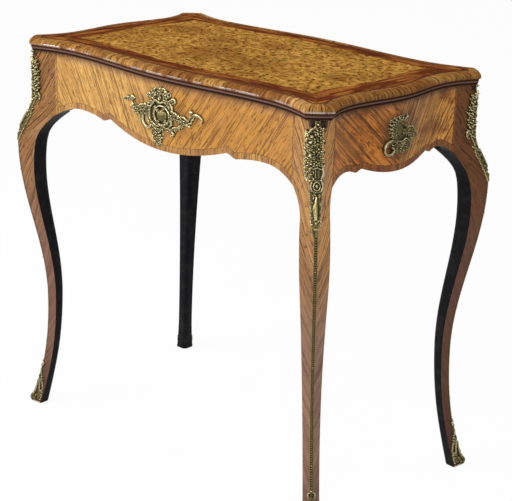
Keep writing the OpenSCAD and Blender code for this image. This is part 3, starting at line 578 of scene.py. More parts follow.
def leg_face(z, t, corner, at_arch, side, limits, inset_end):
    """How far an outer face stands out at the share t from its inner side to the cut."""
    hollow_from, post_level = limits
    line = side(mix(hollow_from, inset_end[0], t), apron_in, inset_end[1])
    start = side(np.array(hollow_from), apron_in, inset_end[1])
    rise = (post_level - line) / (post_level - start)
    low = mix(foot_rise, at_arch - start, np.clip((z - arch_z + rise_fades) / rise_fades, 0, 1) ** 2)
    return corner - rise * np.where(z >= arch_z, corner - start, low)


def leg_faces(z):
    """The corner, the cut and both inner limits of a leg at the heights z."""
    x, y = leg_corner(z)
    ax, ay = leg_corner(np.array(arch_z))
    cut = mix(arris_cut, post_cut, ease((z - knee_z) / (cant_z - knee_z)))
    return x, y, cut, leg_inner(z, x, ax, post_in_x), leg_inner(z, y, ay, post_in_y), ax, ay


def long_face(z, x_place):
    """y of the long outer face of the back right leg."""
    x, y, cut, ix, _, _, ay = leg_faces(z)
    t = (x_place - ix) / (x - cut - ix)
    return leg_face(z, t, y, ay, long_side, (post_in_x, post_y), (long_corner[0], long_corner))


def short_face(z, y_place):
    """x of its short outer face."""
    x, y, cut, _, iy, ax, _ = leg_faces(z)
    t = (y_place - iy) / (y - cut - iy)
    return leg_face(z, t, x, ax, short_side, (post_in_y, post_x), (short_corner[1], short_corner))


def face_mark(side_x, side_y, is_long):
    """A number of its own for every outer face of every leg."""
    return side_x + 2.3 * side_y + 0.4 * is_long


leg_material = blank_material("leg_veneer")
away, z, mark = parts_of(named("veneer"))
stripe, line, pore = grain_at(turned(away, z, *cross_cut, mark), 115, 0.006)
upper = ramp(z, 0.30, 0.62)
near_front_highlight, near_short = near(mark, face_mark(1, -1, 1), 0.15), near(mark, face_mark(1, -1, 0), 0.15)
left_long, back_short = near(mark, face_mark(-1, -1, 1), 0.15), near(mark, face_mark(1, 1, 0), 0.15)
# Each outer face has a tint of its own; the pinkish one on the front face of the near leg is a painted
# highlight.
light = tinted(
    blend(upper, (0.29, 0.155, 0.110), (0.58, 0.285, 0.075)), (left_long, 0.45, (0.19, 0.085, 0.055)),
    (near_front_highlight, 0.15, (0.52, 0.33, 0.20)), (near_short, 0.35, (0.60, 0.36, 0.25)),
    (back_short, 0.82, (0.125, 0.040, 0.018)), (near_short * upper, 0.8, (0.84, 0.40, 0.10)))
# Painted shadow: the cut corner of the leg turns near black just under the moulding.
shadow_under_moulding = ramp(away, 0.028, 0.019) * ramp(z, 0.712, 0.719)
colour = tinted(
    blend(stripe, light, blend(0.6, light, (0.13, 0.048, 0.018))),
    (line, upper * 0.4 + 0.5, (0.055, 0.018, 0.008)), (shadow_under_moulding, 0.92, (0.008, 0.004, 0.004)),
    (ramp(z, 0.16, 0.01), 0.7, (0.05, 0.02, 0.016)))
polished(colour, pore)

leg_heights = np.unique(np.round(np.concatenate([
    np.linspace(0, 0.09, 22), np.linspace(0.09, arch_start_z, 70), np.linspace(arch_start_z, arch_z, 22),
    np.linspace(arch_z, under_top, 26)]), 7))
face_points, round_points, inner_round, deep_inside = 9, 5, 0.010, 0.03


def leg_ring():
    """Points of every level, from the middle of the rounded inner corner round by the short face."""
    z = leg_heights
    x, y, cut, ix, iy, _, _ = leg_faces(z)
    radius = np.minimum(inner_round, 0.4 * leg_width(z))
    columns, values = [], []

    def add(px, py, away, is_long=0):
        columns.append(np.stack([px, py, z], 1))
        values.append(np.stack([away, z, np.full_like(z, face_mark(0, 0, is_long))], 1))

    def add_round(degrees):
        for angle in np.radians(degrees):
            px, py = ix + radius * (1 + math.cos(angle)), iy + radius * (1 + math.sin(angle))
            add(px, py, np.full_like(z, deep_inside))

    add_round(np.linspace(225, 270, round_points))
    for t in np.linspace(0, 1, face_points):
        py = mix(iy, y - cut, t)
        add(short_face(z, py), py, y - py)
    for t in np.linspace(1, 0, face_points):
        px = mix(ix, x - cut, t)
        add(px, long_face(z, px), x - px, 1)
    add_round(np.linspace(180, 225, round_points)[:-1])
    return np.stack(columns, 1), np.stack(values, 1)


def bar_faces(levels, around):
    """Faces of a bar with closed ends, from rings of points laid one after the other."""
    faces = []
    for level in range(levels - 1):
        for k in range(around):
            a, b = level * around + k, level * around + (k + 1) % around
            faces.append((a, b, b + around, a + around))
    return faces + [tuple(range(around - 1, -1, -1)), tuple(range((levels - 1) * around, levels * around))]


leg_points, leg_values = leg_ring()
levels, around = leg_points.shape[:2]
first_face, last_face = round_points, round_points + 2 * face_points - 2
finish = [0 if first_face <= k <= last_face else 1 for k in range(around)] * (levels - 1) + [1, 1]
corners_of_table = {
    "front_left": (-1, -1), "front_right": (1, -1), "back_left": (-1, 1), "back_right": (1, 1)}
for corner_name, (side_x, side_y) in corners_of_table.items():
    leg = new_piece("leg_" + corner_name + "_veneered", leg_points.reshape(-1, 3) * (side_x, side_y, 1),
                    bar_faces(levels, around), finish, [leg_material, black_stain], "veneer",
                    leg_values.reshape(-1, 3) + (0, 0, face_mark(side_x, side_y, 0)), sharp=38)
    fit(leg, "tulipwood", "leg_" + corner_name)


# The moulded edge of the top: solid cross-cut kingwood with a rounded nose, a quarter round, a
# fillet and a cove, in four lengths and four short ones across the corners, mitred together.
edge_wide, nose_in, nose_drop, corner_bow = 0.024, 0.013, 0.0085, 0.003
under_drop, under_in, fillet_wide, cove_in, fillet_high = 0.0025, 0.002, 0.0012, 0.006, 0.0012
cut_middle = np.array([half_length - corner_cut / 2, half_depth - corner_cut / 2])
long_end = np.array([half_length - corner_cut, half_depth])
short_end = np.array([half_length, half_depth - corner_cut])
line_middle = cut_middle - 0.65 * edge_wide
line_cut = 0.020 / math.sqrt(8)
line_long_end, line_short_end = line_middle + (-line_cut, line_cut), line_middle + (line_cut, -line_cut)


def edge_section():
    """Section as distance in from the outer line and height below the top."""
    turn = np.radians(np.linspace(0, 90, 17))
    nose = np.stack([nose_in * (1 - np.sin(turn)), nose_drop * (np.cos(turn) - 1)], 1)
    turn = np.radians(np.linspace(7.5, 90, 12))
    quarter = np.stack([under_in * (1 - np.cos(turn)), -nose_drop - under_drop * np.sin(turn)], 1)
    step = under_in + fillet_wide
    turn = np.radians(np.linspace(0, 90, 8))
    top_of_cove = -nose_drop - under_drop - fillet_high
    cove = np.stack([step + cove_in * (1 - np.cos(turn)), mix(top_of_cove, -top_thick, np.sin(turn))], 1)
    flat = np.stack([np.linspace(edge_wide, nose_in, 6)[:-1], np.zeros(5)], 1)
    corner, end = [[step, -nose_drop - under_drop]], [[edge_wide, -top_thick]]
    return np.concatenate([flat, nose, quarter, corner, cove, end])


# The material of the edge knows where it is by the run along a length, the girth from the dark
# line over the nose and down, and a seed that tells one length from another.
side_seeds = {"back": 0.0, "front": 4.0, "right": 8.0, "left": 12.0}


def corner_seed(side_x, side_y):
    return 20.0 + side_x + 3 * side_y


edge_material = blank_material("edge_crossband")
run, girth, seed = parts_of(named("moulding"))
stripe, line, pore = grain_at(vector(girth, run, seed), 130, 0.003)
on_front, on_near_corner = near(seed, side_seeds["front"], 0.5), near(seed, corner_seed(1, -1), 0.5)
length_step = calc("FLOOR", run * 13 + noise(vector(run * 7, seed), 2))
tone = made("ShaderNodeTexWhiteNoise", {"Vector": vector(length_step, seed)}, noise_dimensions="2D")
light = tinted(
    blend(ramp(tone, 0.25, 0.95), (0.42, 0.18, 0.045), (0.72, 0.38, 0.10)),
    (on_front * ramp(run, 0.075, 0.062), 1.0, (0.86, 0.46, 0.16)),
    (ramp(noise(vector(run * 70, girth * 45, seed)), 0.5, 0.66), 0.55, (0.24, 0.065, 0.022)))
colour = blend(stripe, light, blend(0.75, light, (0.10, 0.03, 0.012)))
colour = tinted(colour, (line, 0.9, (0.04, 0.012, 0.007)))
# Bands by girth paint light and shade into the colour: painted shade at the foot of the nose and over the
# quarter round, a painted highlight on the fillet, painted shadow in the top of the cove and a lighter
# painted shade at its foot.
for start, full, strength, tint in {
        "foot_of_nose": (0.0258, 0.0275, 0.40, (0.12, 0.036, 0.018)),
        "quarter_round": (0.0300, 0.0318, 0.92, (0.060, 0.020, 0.012)),
        "fillet": (0.0364, 0.0370, 0.80, (0.20, 0.125, 0.10)),
        "top_of_cove": (0.0390, 0.0396, 0.92, (0.012, 0.005, 0.004)),
        "foot_of_cove": (0.0425, 0.0440, 0.60, (0.20, 0.10, 0.045))}.values():
    colour = tinted(colour, (ramp(girth, start, full), strength, tint))
swell = ramp(run, 0.03, 0.06) * ramp(run, 0.275, 0.24)
joint = 0.0022 + swell * on_front * 0.0062
colour = tinted(colour, (calc("LESS_THAN", girth, joint), 0.75, (0.16, 0.042, 0.014)),
                (near(girth, joint, 0.0006), 1.0, (0.012, 0.005, 0.004)))
# Painted highlight: a coat of very high index lies only on a thin band low on the nose, and at strength
# only on the front length and the near corner, where the highlight is wanted; noise along the run breaks it
# into pieces.
nose_highlight_band = ramp(girth, 0.0265, 0.0273) * ramp(girth, 0.0304, 0.0298)
rubbed = ramp(noise(vector(run * 24, seed)), 0.42, 0.56)
lit = calc("MAXIMUM", calc("MAXIMUM", on_front, on_near_corner) * rubbed * 0.85, 0.04)
polished(colour, pore, coat=nose_highlight_band * lit, gloss=0.0, coat_ior=3.6)


def way_along(line):
    """How far every point of a line is from its start, measured on the line."""
    return np.concatenate([[0], np.cumsum(np.linalg.norm(np.diff(line, axis=0), axis=1))])


def edge_length(node, outer, inner, seed):
    """One mitred length of the moulding between its outer line and the dark line."""
    section = edge_section()
    share = section[None, :, :1] / edge_wide
    plan = outer[:, None, :] * (1 - share) + inner[:, None, :] * share
    size = plan.shape[:2]
    height = np.broadcast_to(table_height + section[:, 1], size)
    points = np.concatenate([plan, height[..., None]], 2).reshape(-1, 3)
    run, girth = np.broadcast_arrays(way_along(outer)[:, None], way_along(section))
    values = np.stack([run, girth, np.full(size, seed)], 2).reshape(-1, 3)
    faces = bar_faces(*size)
    piece = new_piece(node + "_moulding", points, faces, [0] * len(faces), [edge_material], "moulding",
                      values, sharp=40)
    fit(piece, "kingwood", node)


for name, turn in (("back", 1), ("front", -1), ("right", 1), ("left", -1)):
    is_short = name in ("right", "left")
    side = short_side if is_short else long_side
    ends = (short_end, line_short_end) if is_short else (long_end, line_long_end)
    lines = []
    for inset, end in zip((0, edge_wide), ends):
        a = np.linspace(-1, 1, 160) * end[int(is_short)]
        level = side(a, inset, end)
        lines.append(np.stack([level, a] if is_short else [a, level], 1) * turn)
    edge_length("edge_" + name, *lines, side_seeds[name])
for corner_name, (side_x, side_y) in corners_of_table.items():
    t = np.linspace(0, 1, 25)[:, None]
    bow = corner_bow * np.sin(np.pi * t) ** 0.75 / math.sqrt(2)
    outer = (mix(long_end, short_end, t) + bow) * (side_x, side_y)
    inner = mix(line_long_end, line_short_end, t) * (side_x, side_y)
    edge_length("edge_corner_" + corner_name, outer, inner, corner_seed(side_x, side_y))


# The veneers of the top: a burr panel inside four mitred bands of kingwood with the grain
# along them, and a thin dark line against the moulded edge. All lie flush and are polished.
for direction, names in (("long", ("band_front", "band_back")), ("short", ("band_left", "band_right"))):
    band_material = blank_material("kingwood_" + direction)
    x, y, _ = parts_of(object_place())
    along, across = (x, y) if direction == "long" else (y, x)
    stripe, line, pore = grain_at(vector(along, across, 31.0), 85, 0.010)
    patch = noise(vector(along * 11, across * 45), 4, 0.6)
    colour = tinted(blend(ramp(patch, 0.42, 0.60), (0.15, 0.036, 0.012), (0.60, 0.22, 0.042)),
                    (stripe, 1.0, (0.13, 0.032, 0.012)), (line, 0.7, (0.035, 0.010, 0.006)))
    polished(colour, pore, roughness=0.4, gloss=0.0)
    for name in names:
        dress(name, band_material)

dark_line = blank_material("dark_line")
broken = ramp(noise(scaled(object_place(), 160), 2), 0.5, 0.62)
polished(blend(broken, (0.018, 0.007, 0.005), (0.11, 0.045, 0.02)), broken, roughness=0.4, gloss=0.01)
dress("top_line", dark_line)

burr_material = blank_material("burr")
swirl = put("ShaderNodeTexNoise", {"Vector": object_place(), "Scale": 14.0, "Detail": 3.0}).outputs["Color"]
x, y, _ = parts_of(moved(object_place(), scaled(moved(swirl, (-0.5, -0.5, -0.5)), 0.035)))
lean = x + y * 0.35
leaning = vector(lean, y, 4.0)
cloud = ramp(noise(scaled(leaning, 9), 4), 0.42, 0.66)
mottle = ramp(noise(scaled(leaning, 60), 5, 0.7), 0.38, 0.62)
fleck = ramp(noise(vector(lean * 95, y * 140, 4.0), 3, 0.65), 0.52, 0.62)
eye = ramp(made("ShaderNodeTexVoronoi", {"Vector": leaning, "Scale": 75.0, "Randomness": 1.0}), 0.30, 0.14)
colour = tinted(
    blend(mottle, (0.66, 0.36, 0.075), (0.36, 0.160, 0.028)), (cloud, 0.65, (0.24, 0.085, 0.016)),
    (eye, 0.4, (0.12, 0.048, 0.010)), (fleck, 0.9, (0.045, 0.018, 0.006)))
polished(colour, fleck, roughness=0.45, gloss=0.0)
dress("burr_panel", burr_material)


# Cast bronze, what all the mounts share. Each mount is a relief over the wood, drawn in
# millimetres on a flat net: every point stands as high as the highest form laid over it, and
# what lies under 0 is sunk in the wood. The drawing is then laid on the surface that carries it.
def spline(points, steps=10):
    """A smooth line through the points."""
    p = np.asarray(points, float)
    p = np.concatenate([[2 * p[0] - p[1]], p, [2 * p[-1] - p[-2]]])
    t = np.linspace(0, 1, steps, endpoint=False)[:, None]
    spans = [0.5 * (2 * b + (c - a) * t + (2 * a - 5 * b + 4 * c - d) * t ** 2
                    + (3 * b - a - 3 * c + d) * t ** 3) for a, b, c, d in zip(p, p[1:], p[2:], p[3:])]
    return np.concatenate(spans + [p[-2:-1]])


def dome(q):
    return np.sqrt(np.clip(1 - q ** 2, 0, 1))


class Relief:
    """A net of heights, with the forms of cast and chased ornament."""

    def __init__(self, left, right, low, high, step):
        self.u, self.v = np.meshgrid(np.arange(left, right + step, step), np.arange(low, high + step, step))
        self.height = np.full(self.u.shape, -3.0)

    def lay(self, height):
        self.height = np.maximum(self.height, height)

    def nearest(self, line):
        """Distance of every point from a line, the side it lies on and the share of the way along."""
        starts = way_along(line)
        best = np.full(self.u.shape, 1e9)
        side, along = np.zeros_like(best), np.zeros_like(best)
        for k, length in enumerate(np.diff(starts)):
            (au, av), (du, dv) = line[k], line[k + 1] - line[k]
            share = np.clip(((self.u - au) * du + (self.v - av) * dv) / length ** 2, 0, 1)
            eu, ev = self.u - au - share * du, self.v - av - share * dv
            distance = np.hypot(eu, ev)
            closer = distance < best
            best = np.where(closer, distance, best)
            side = np.where(closer, np.sign(du * ev - dv * eu), side)
            along = np.where(closer, (starts[k] + share * length) / starts[-1], along)
        return best, side, along

    def bar(self, points, widths, proud, groove=0.0):
        """A round-backed bar along a line, its width given at even shares of the way."""
        distance, _, along = self.nearest(spline(points))
        half = np.interp(along, np.linspace(0, 1, len(widths)), widths) / 2
        q = distance / half
        rise = proud * dome(q) - groove * np.exp(-(distance / 0.55) ** 2)
        self.lay(np.where(q < 1, rise, (1 - q) * half * 2))

    def leaf(self, points, wide, proud, lobes=5, notch=0.3, curl=0.25):
        """A leaf with a sunk midrib, veins and notched rims, its tip curling up."""
        distance, side, along = self.nearest(spline(points))
        shape = np.sin(np.pi * np.clip(0.04 + 0.94 * along, 0, 1) ** 0.75) ** 0.7
        teeth = 1 - notch * np.abs(np.cos(np.pi * (lobes * along + 0.12 * side))) ** 2
        half = np.maximum(wide / 2 * shape * teeth, 0.5)
        q = distance / half
        veins = 0.13 * np.cos(2 * np.pi * (lobes * along - 0.8 * q))
        midrib = 0.45 * np.exp(-(distance / 0.8) ** 2)
        rise = proud * (1 + curl * along ** 2 - 0.35 * q ** 2 + veins - midrib)
        self.lay(np.minimum(rise, (1 - q) * half * 2.6))

    def bead(self, u, v, radius, proud):
        q = np.hypot(self.u - u, self.v - v) / radius
        self.lay(np.where(q < 1, proud * dome(q), (1 - q) * radius * 2))

    def oval(self, u, v, radius_u, radius_v, proud, rim=0.0):
        """A dome, or with a rim an oval ring of that width."""
        q = np.hypot((self.u - u) / radius_u, (self.v - v) / radius_v)
        least = min(radius_u, radius_v)
        if rim:
            across = np.abs(q - 1) * least / (rim / 2)
            self.lay(np.where(across < 1, proud * dome(across), (1 - across) * rim))
        else:
            self.lay(np.where(q < 1, proud * np.clip(1 - q ** 2, 0, 1) ** 0.4, (1 - q) * least * 2))

    def plate(self, outline, level):
        """A thin flat form inside a closed outline, its rim falling away."""
        line = spline(outline + outline[:1], 6)
        distance = self.nearest(line)[0]
        inside = np.zeros(self.u.shape, bool)
        for (au, av), (bu, bv) in zip(line, line[1:]):
            crossed = (av > self.v) != (bv > self.v)
            inside ^= crossed & (self.u < au + (bu - au) * (self.v - av) / (bv - av + 1e-9))
        self.lay(np.where(inside, np.minimum(level, 2 * distance), -2 * distance))

    def flower(self, u, v, radius, proud, petals=5, turn=0.3):
        for k in range(petals):
            angle = turn + 2 * math.pi * k / petals
            self.leaf([(u + share * radius * math.cos(angle), v + share * radius * math.sin(angle))
                       for share in (0, 0.55, 1)], 0.85 * radius, proud, 2, 0.1)
        self.bead(u, v, 0.28 * radius, proud * 1.25)

    def grains(self, seed, count, box, size, rise):
        """Small chased lumps in a box, raised on what is there already."""
        places = np.random.default_rng(seed).uniform(size=(count, 3))
        left, right, low, high = box
        lumps = np.zeros_like(self.height)
        for a, b, c in places:
            radius = size * (0.7 + 0.6 * c)
            q = np.hypot(self.u - left - a * (right - left), self.v - low - b * (high - low)) / radius
            lumps = np.maximum(lumps, rise * dome(q))
        self.height = np.where(self.height > 0.6, self.height + lumps, self.height)


def blurred(field, reach):
    """Running mean over reach points either way, both ways of the net."""
    count = 2 * reach + 1
    for axis in (0, 1):
        pad = [(reach + 1, reach) if k == axis else (0, 0) for k in (0, 1)]
        total = np.cumsum(np.pad(field, pad, mode="edge"), axis=axis)
        last = total.shape[axis]
        field = np.take(total, range(count, last), axis) - np.take(total, range(last - count), axis)
        field = field / count
    return field


seat, sunk, back_in, pin_proud = 0.0001, 0.7, 0.0009, 0.0002
pin_places = []


def cast(name, relief, base, flip, node, pins=(), tarnish=0.0):
    """Lays a relief on the points of the wood and closes it behind. flip mirrors its faces."""
    normal = np.cross(np.gradient(base, axis=1), np.gradient(base, axis=0)) * (-1 if flip else 1)
    normal = np.stack([blurred(normal[..., k], 4) for k in range(3)], -1)
    normal /= np.linalg.norm(normal, axis=-1, keepdims=True)
    height = relief.height
    front = base + normal * (np.maximum(height, -sunk) * 0.001)[..., None]
    behind = base - normal * back_in
    for side in (front, behind):
        side[..., 2] = np.maximum(side[..., 2], 0)
    for u, v in pins:
        spot = np.unravel_index(np.argmin(np.hypot(relief.u - u, relief.v - v)), height.shape)
        pin_places.append((front[spot] + normal[spot] * pin_proud, normal[spot]))
    index = np.arange(height.size).reshape(height.shape)
    corners = [index[:-1, :-1], index[:-1, 1:], index[1:, 1:], index[1:, :-1]]
    kept = height.ravel()[np.stack(corners)].max(0) > -0.05
    top = np.stack([corner[kept] for corner in corners], 1)
    edge = np.concatenate([top[:, [k, (k + 1) % 4]] for k in range(4)])
    keys = {(int(p), int(q)) for p, q in edge}
    rims = np.array([(p, q) for p, q in keys if (q, p) not in keys])
    rim_faces = np.stack([rims[:, 1], rims[:, 0], rims[:, 0] + height.size, rims[:, 1] + height.size], 1)
    faces = np.concatenate([top, top[:, ::-1] + height.size, rim_faces])
    used, faces = np.unique(faces, return_inverse=True)
    faces = faces.reshape(-1, 4)
    points = np.concatenate([front.reshape(-1, 3), behind.reshape(-1, 3)])[used]
    hollow = np.tile((height - blurred(height, 3)).ravel(), 2)
    values = np.stack([hollow, np.full_like(hollow, tarnish), np.zeros_like(hollow)], 1)[used]
    piece = new_piece(name, points, faces.tolist(), [0] * len(faces), [bronze], "relief", values, sharp=75)
    fit(piece, "bronze", node)


# The bronze reads the attribute relief: how proud a point is of what lies round it, and tarnish.
bronze = blank_material("aged_bronze")
hollow, tarnish, _ = parts_of(named("relief"))
patina = noise(scaled(object_place(), 150), 4)
worn = ramp(hollow + (patina - 0.5) * 1.1, -0.45, 0.4) * (1.0 - tarnish * 0.55)
rubbed = calc("MAXIMUM", ramp(hollow, 0.40, 1.1) - tarnish * 0.35, 0.0)
colour = tinted((0.036, 0.031, 0.012), (worn, 1.0, (0.20, 0.158, 0.060)), (rubbed, 1.0, (0.58, 0.51, 0.30)))
bump = made("ShaderNodeBump", {
    "Height": noise(scaled(object_place(), 900)), "Strength": 0.5, "Distance": 0.00025})
show(made("ShaderNodeBsdfPrincipled", {
    "Base Color": colour, "Metallic": 1.0 - (1.0 - worn) * 0.5, "Roughness": 0.6 + worn * -0.32,
    "Normal": bump, "Specular IOR Level": 0.1}))


# The cartouches of the long aprons: one lopsided casting, used front and back. A plain domed
# shield in a moulded frame, flowers over it, a looped scroll on the left, a festoon on the
# right, a hanging flower and two leafy arms that end in curls. Pinned through the arms.
cartouche = Relief(-106, 102, 610, 719, 0.7)
cartouche.plate([(-24, 692), (-25, 703), (-19, 712), (-8, 716), (5, 717), (16, 714), (25, 709), (25, 698),
    (20, 690), (0, 688)], 1.8)
cartouche.plate([(-34, 682), (-20, 691), (0, 693), (20, 690), (29, 683), (30, 672), (27, 658), (20, 647),
    (4, 643), (-14, 644), (-26, 650), (-33, 664)], 1.2)
cartouche.plate([(-22, 646), (-24, 633), (-18, 623), (-8, 613), (0, 618), (5, 628), (7, 640), (4, 647)],
    1.6)
cartouche.leaf([(-26, 676), (-42, 674), (-56, 668), (-72, 659)], 20, 3.6, 6, 0.25)
cartouche.leaf([(-40, 680), (-54, 675), (-66, 671), (-76, 672)], 9, 3.4, 4)
cartouche.leaf([(-60, 668), (-69, 666), (-75, 672), (-79, 684)], 11, 4.2, 4)
cartouche.bar([(-70, 686), (-77, 688), (-83, 683), (-92, 683), (-100, 679)], [4, 6, 7, 8, 4], 4.4, 0.8)
cartouche.leaf([(-82, 682), (-92, 680), (-102, 677)], 9, 3.6, 3)
cartouche.bead(-76, 685, 4.8, 6.0)
cartouche.leaf([(-38, 668), (-50, 661), (-58, 653)], 12, 3.4, 3)
cartouche.leaf([(-44, 662), (-52, 655), (-50, 648)], 9, 3.0, 3)
cartouche.bar([(-30, 680), (-39, 673), (-46, 663), (-47, 652), (-40, 644), (-32, 642), (-24, 646),
    (-18, 652)], [4, 5.5, 6.5, 7, 6, 6, 5.5, 4], 5.4, 1.0)
cartouche.bar([(-29, 678), (-34, 669), (-34, 659), (-29, 651)], [4, 5, 5, 4], 4.2, 0.6)
cartouche.bar([(-16, 688), (-25, 679), (-27, 667), (-24, 656), (-17, 649)], [4, 6, 6.5, 6, 4], 5.6, 1.0)
cartouche.leaf([(-14, 696), (-25, 700), (-39, 696)], 13, 4.2, 3)
cartouche.leaf([(-18, 690), (-27, 687), (-34, 681)], 9, 4.0, 3)
cartouche.flower(-15, 706, 9, 5.0, 6)
cartouche.flower(16, 706, 9.5, 5.2, 6, 0.7)
cartouche.flower(0, 710, 8, 4.8, 5)
cartouche.leaf([(0, 694), (-2, 703), (-1, 716)], 11, 4.4, 3)
cartouche.bar([(-22, 684), (-12, 693), (0, 690), (10, 693), (22, 687), (29, 679)], [4, 5.5, 5, 5.5, 6, 4],
    5.4, 0.9)
cartouche.bar([(10, 697), (18, 694), (25, 697), (33, 702), (36, 697), (31, 694)], [4, 5, 6, 6, 5, 4], 5.0,
    0.6)
cartouche.bead(31, 698, 4.0, 5.8)
cartouche.leaf([(14, 700), (20, 690), (27, 682)], 11, 4.6, 3)
cartouche.bar([(24, 694), (28, 688), (29, 680), (34, 676)], [5, 7, 7, 5], 5.0, 0.8)
cartouche.oval(4, 669, 19, 16.5, 4.8, 4.2)
cartouche.leaf([(-14, 684), (-6, 678), (0, 670)], 10, 6.6, 4)
cartouche.leaf([(20, 655), (14, 660), (9, 668)], 9, 6.4, 3)
cartouche.leaf([(-10, 652), (-4, 658), (0, 664)], 8, 6.0, 3)
cartouche.leaf([(14, 688), (10, 681), (5, 674)], 8, 6.2, 3)
cartouche.bar([(27, 679), (36, 678), (45, 673), (56, 675), (64, 671)], [4, 6.5, 6, 5.5, 4], 4.8, 0.9)
cartouche.leaf([(24, 671), (40, 670), (55, 668), (71, 661)], 17, 3.8, 6, 0.25)
cartouche.leaf([(58, 666), (68, 668), (76, 677), (84, 685)], 11, 4.0, 4)
cartouche.bar([(66, 670), (74, 679), (82, 683), (90, 682), (96, 678), (95, 673)], [5, 7, 7.5, 7.5, 6, 4],
    4.6, 0.9)
cartouche.bead(73, 686, 4.6, 5.8)
cartouche.bead(46, 667, 2.2, 5.0)
cartouche.bar([(12, 649), (22, 647), (33, 651), (44, 655), (56, 664)], [5, 7.5, 7.5, 7.5, 5], 4.0, 1.0)
for u, v in ((20, 644), (28, 648), (36, 650), (43, 654), (50, 658)):
    cartouche.flower(u, v, 5, 4.2, 5, 0.1 * u)
cartouche.bar([(20, 650), (28, 646), (32, 641), (27, 638)], [4, 5.5, 5.5, 4], 5.0)
cartouche.bar([(24, 668), (27, 659), (22, 651), (13, 647)], [4, 5.5, 5.5, 4], 4.8, 0.8)
cartouche.leaf([(-22, 655), (-14, 648), (-8, 638)], 11, 4.8, 3)
cartouche.leaf([(14, 652), (5, 647), (-2, 638)], 11, 4.8, 3)
cartouche.bar([(-18, 653), (-8, 649), (0, 651), (12, 650)], [4, 6, 6, 4], 5.8, 0.8)
cartouche.leaf([(-8, 646), (-7, 632), (-7, 613)], 17, 3.6, 6)
for u, v, radius in ((-16, 630, 7.5), (0, 630, 7), (-7, 637, 6.5), (-11, 622, 6), (-2, 621, 5.5),
        (-7, 628, 5.5)):
    cartouche.flower(u, v, radius, 5.0, 5, 0.3 * u)
for seed, count, box in ((3, 120, (-28, 28, 692, 716)), (4, 90, (-30, -16, 646, 690)),
        (5, 60, (22, 34, 646, 690)), (6, 110, (-24, 8, 612, 650)), (7, 90, (-72, -34, 650, 682)),
        (8, 90, (34, 70, 648, 680))):
    cartouche.grains(seed, count, box, 1.2, 0.8)
cartouche.oval(4, 669, 12.6, 11.0, 7.2)
u, v = cartouche.u * 0.001, cartouche.v * 0.001
wood = np.stack([u, -long_side(u, apron_in, long_corner) - seat, v], -1)
pins = [(-88, 683), (-52, 668), (52, 668), (86, 683), (-7, 617)]
cast("cartouche_front_relief", cartouche, wood, False, "cartouche_front", pins)
cast("cartouche_back_relief", cartouche, wood * (-1, -1, 1), False, "cartouche_back", pins)


# The shells of the short aprons, one casting for both: a plain domed field in a rim of small
# leaves and beads, a looped scroll below it on the left, a fluted leaf and an arm on the right.
shell = Relief(-41, 51, 636, 709, 0.55)
shell.plate([(-28, 688), (-27, 699), (-14, 703), (4, 705), (13, 699), (10, 690), (13, 681), (26, 677),
    (37, 673), (40, 663), (28, 656), (24, 646), (8, 640), (-12, 642), (-22, 650), (-22, 666), (-28, 678)],
    1.6)
for u, v in ((-24, 671), (-26, 678), (-28, 685), (-28, 692), (-25, 698), (-18, 701), (-9, 702), (0, 702),
        (8, 700)):
    shell.leaf([(-5 + 0.45 * (u + 5), 680 + 0.45 * (v - 680)), (u, v),
        (1.1 * u + 0.5, 680 + 1.1 * (v - 680))], 9, 4.2, 3)
    shell.bead(-5 + 0.9 * (u + 5), 680 + 0.9 * (v - 680), 2.2, 5.4)
shell.bar([(-18, 664), (-23, 674), (-21, 686), (-13, 694), (-3, 694), (6, 689)], [4, 5, 5, 5, 5, 4], 5.0,
    0.8)
shell.bar([(-14, 668), (-16, 677), (-13, 686), (-6, 689)], [3, 4, 4, 3], 4.4, 0.6)
shell.leaf([(0, 688), (8, 695), (13, 704)], 12, 4.2, 3)
shell.bar([(-2, 691), (7, 687), (13, 681), (8, 675)], [4, 6, 5, 4], 5.0, 0.8)
shell.leaf([(0, 676), (14, 675), (28, 671), (47, 659)], 19, 4.4, 7, 0.25)
shell.leaf([(12, 677), (24, 679), (36, 674)], 11, 4.2, 4)
shell.bead(38, 665, 4.6, 5.8)
shell.bar([(-20, 670), (-13, 664), (-3, 660), (6, 662)], [4, 5, 5, 4], 5.4, 0.8)
for step in range(5):
    shell.bar([(1 - step, 660 - 4 * step), (8, 664 - 3.6 * step), (16, 660 - 3 * step),
        (24 - step, 652 - 2 * step)], [2, 3.6, 3.6, 2], 5.6 - 0.4 * step)
shell.leaf([(-20, 656), (-8, 650), (8, 647), (27, 644)], 15, 3.6, 6)
for u, v in ((-6, 656), (-13, 659), (-12, 650), (-3, 649), (5, 644), (-20, 664), (26, 662), (20, 668)):
    shell.flower(u, v, 5, 4.6, 5, 0.2 * u)
shell.bar([(-14, 662), (-24, 664), (-34, 660), (-38, 651), (-33, 643), (-24, 642), (-18, 648),
    (-22, 653)], [5, 6.5, 7, 6.5, 5.5, 5, 4, 3], 6.4, 1.0)
shell.grains(7, 230, (-30, 16, 640, 704), 1.1, 0.9)
shell.grains(9, 120, (14, 44, 644, 680), 1.1, 0.9)
shell.oval(-4, 679, 8, 10, 4.0)
u, v = shell.u * 0.001, shell.v * 0.001
wood = np.stack([short_side(u, apron_in, short_corner) + seat, u, v], -1)
pins = [(-35, 657), (32, 668), (-4, 701)]
cast("shell_right_relief", shell, wood, False, "shell_mount_right", pins, 0.6)
cast("shell_left_relief", shell, wood * (-1, -1, 1), False, "shell_mount_left", pins, 0.6)


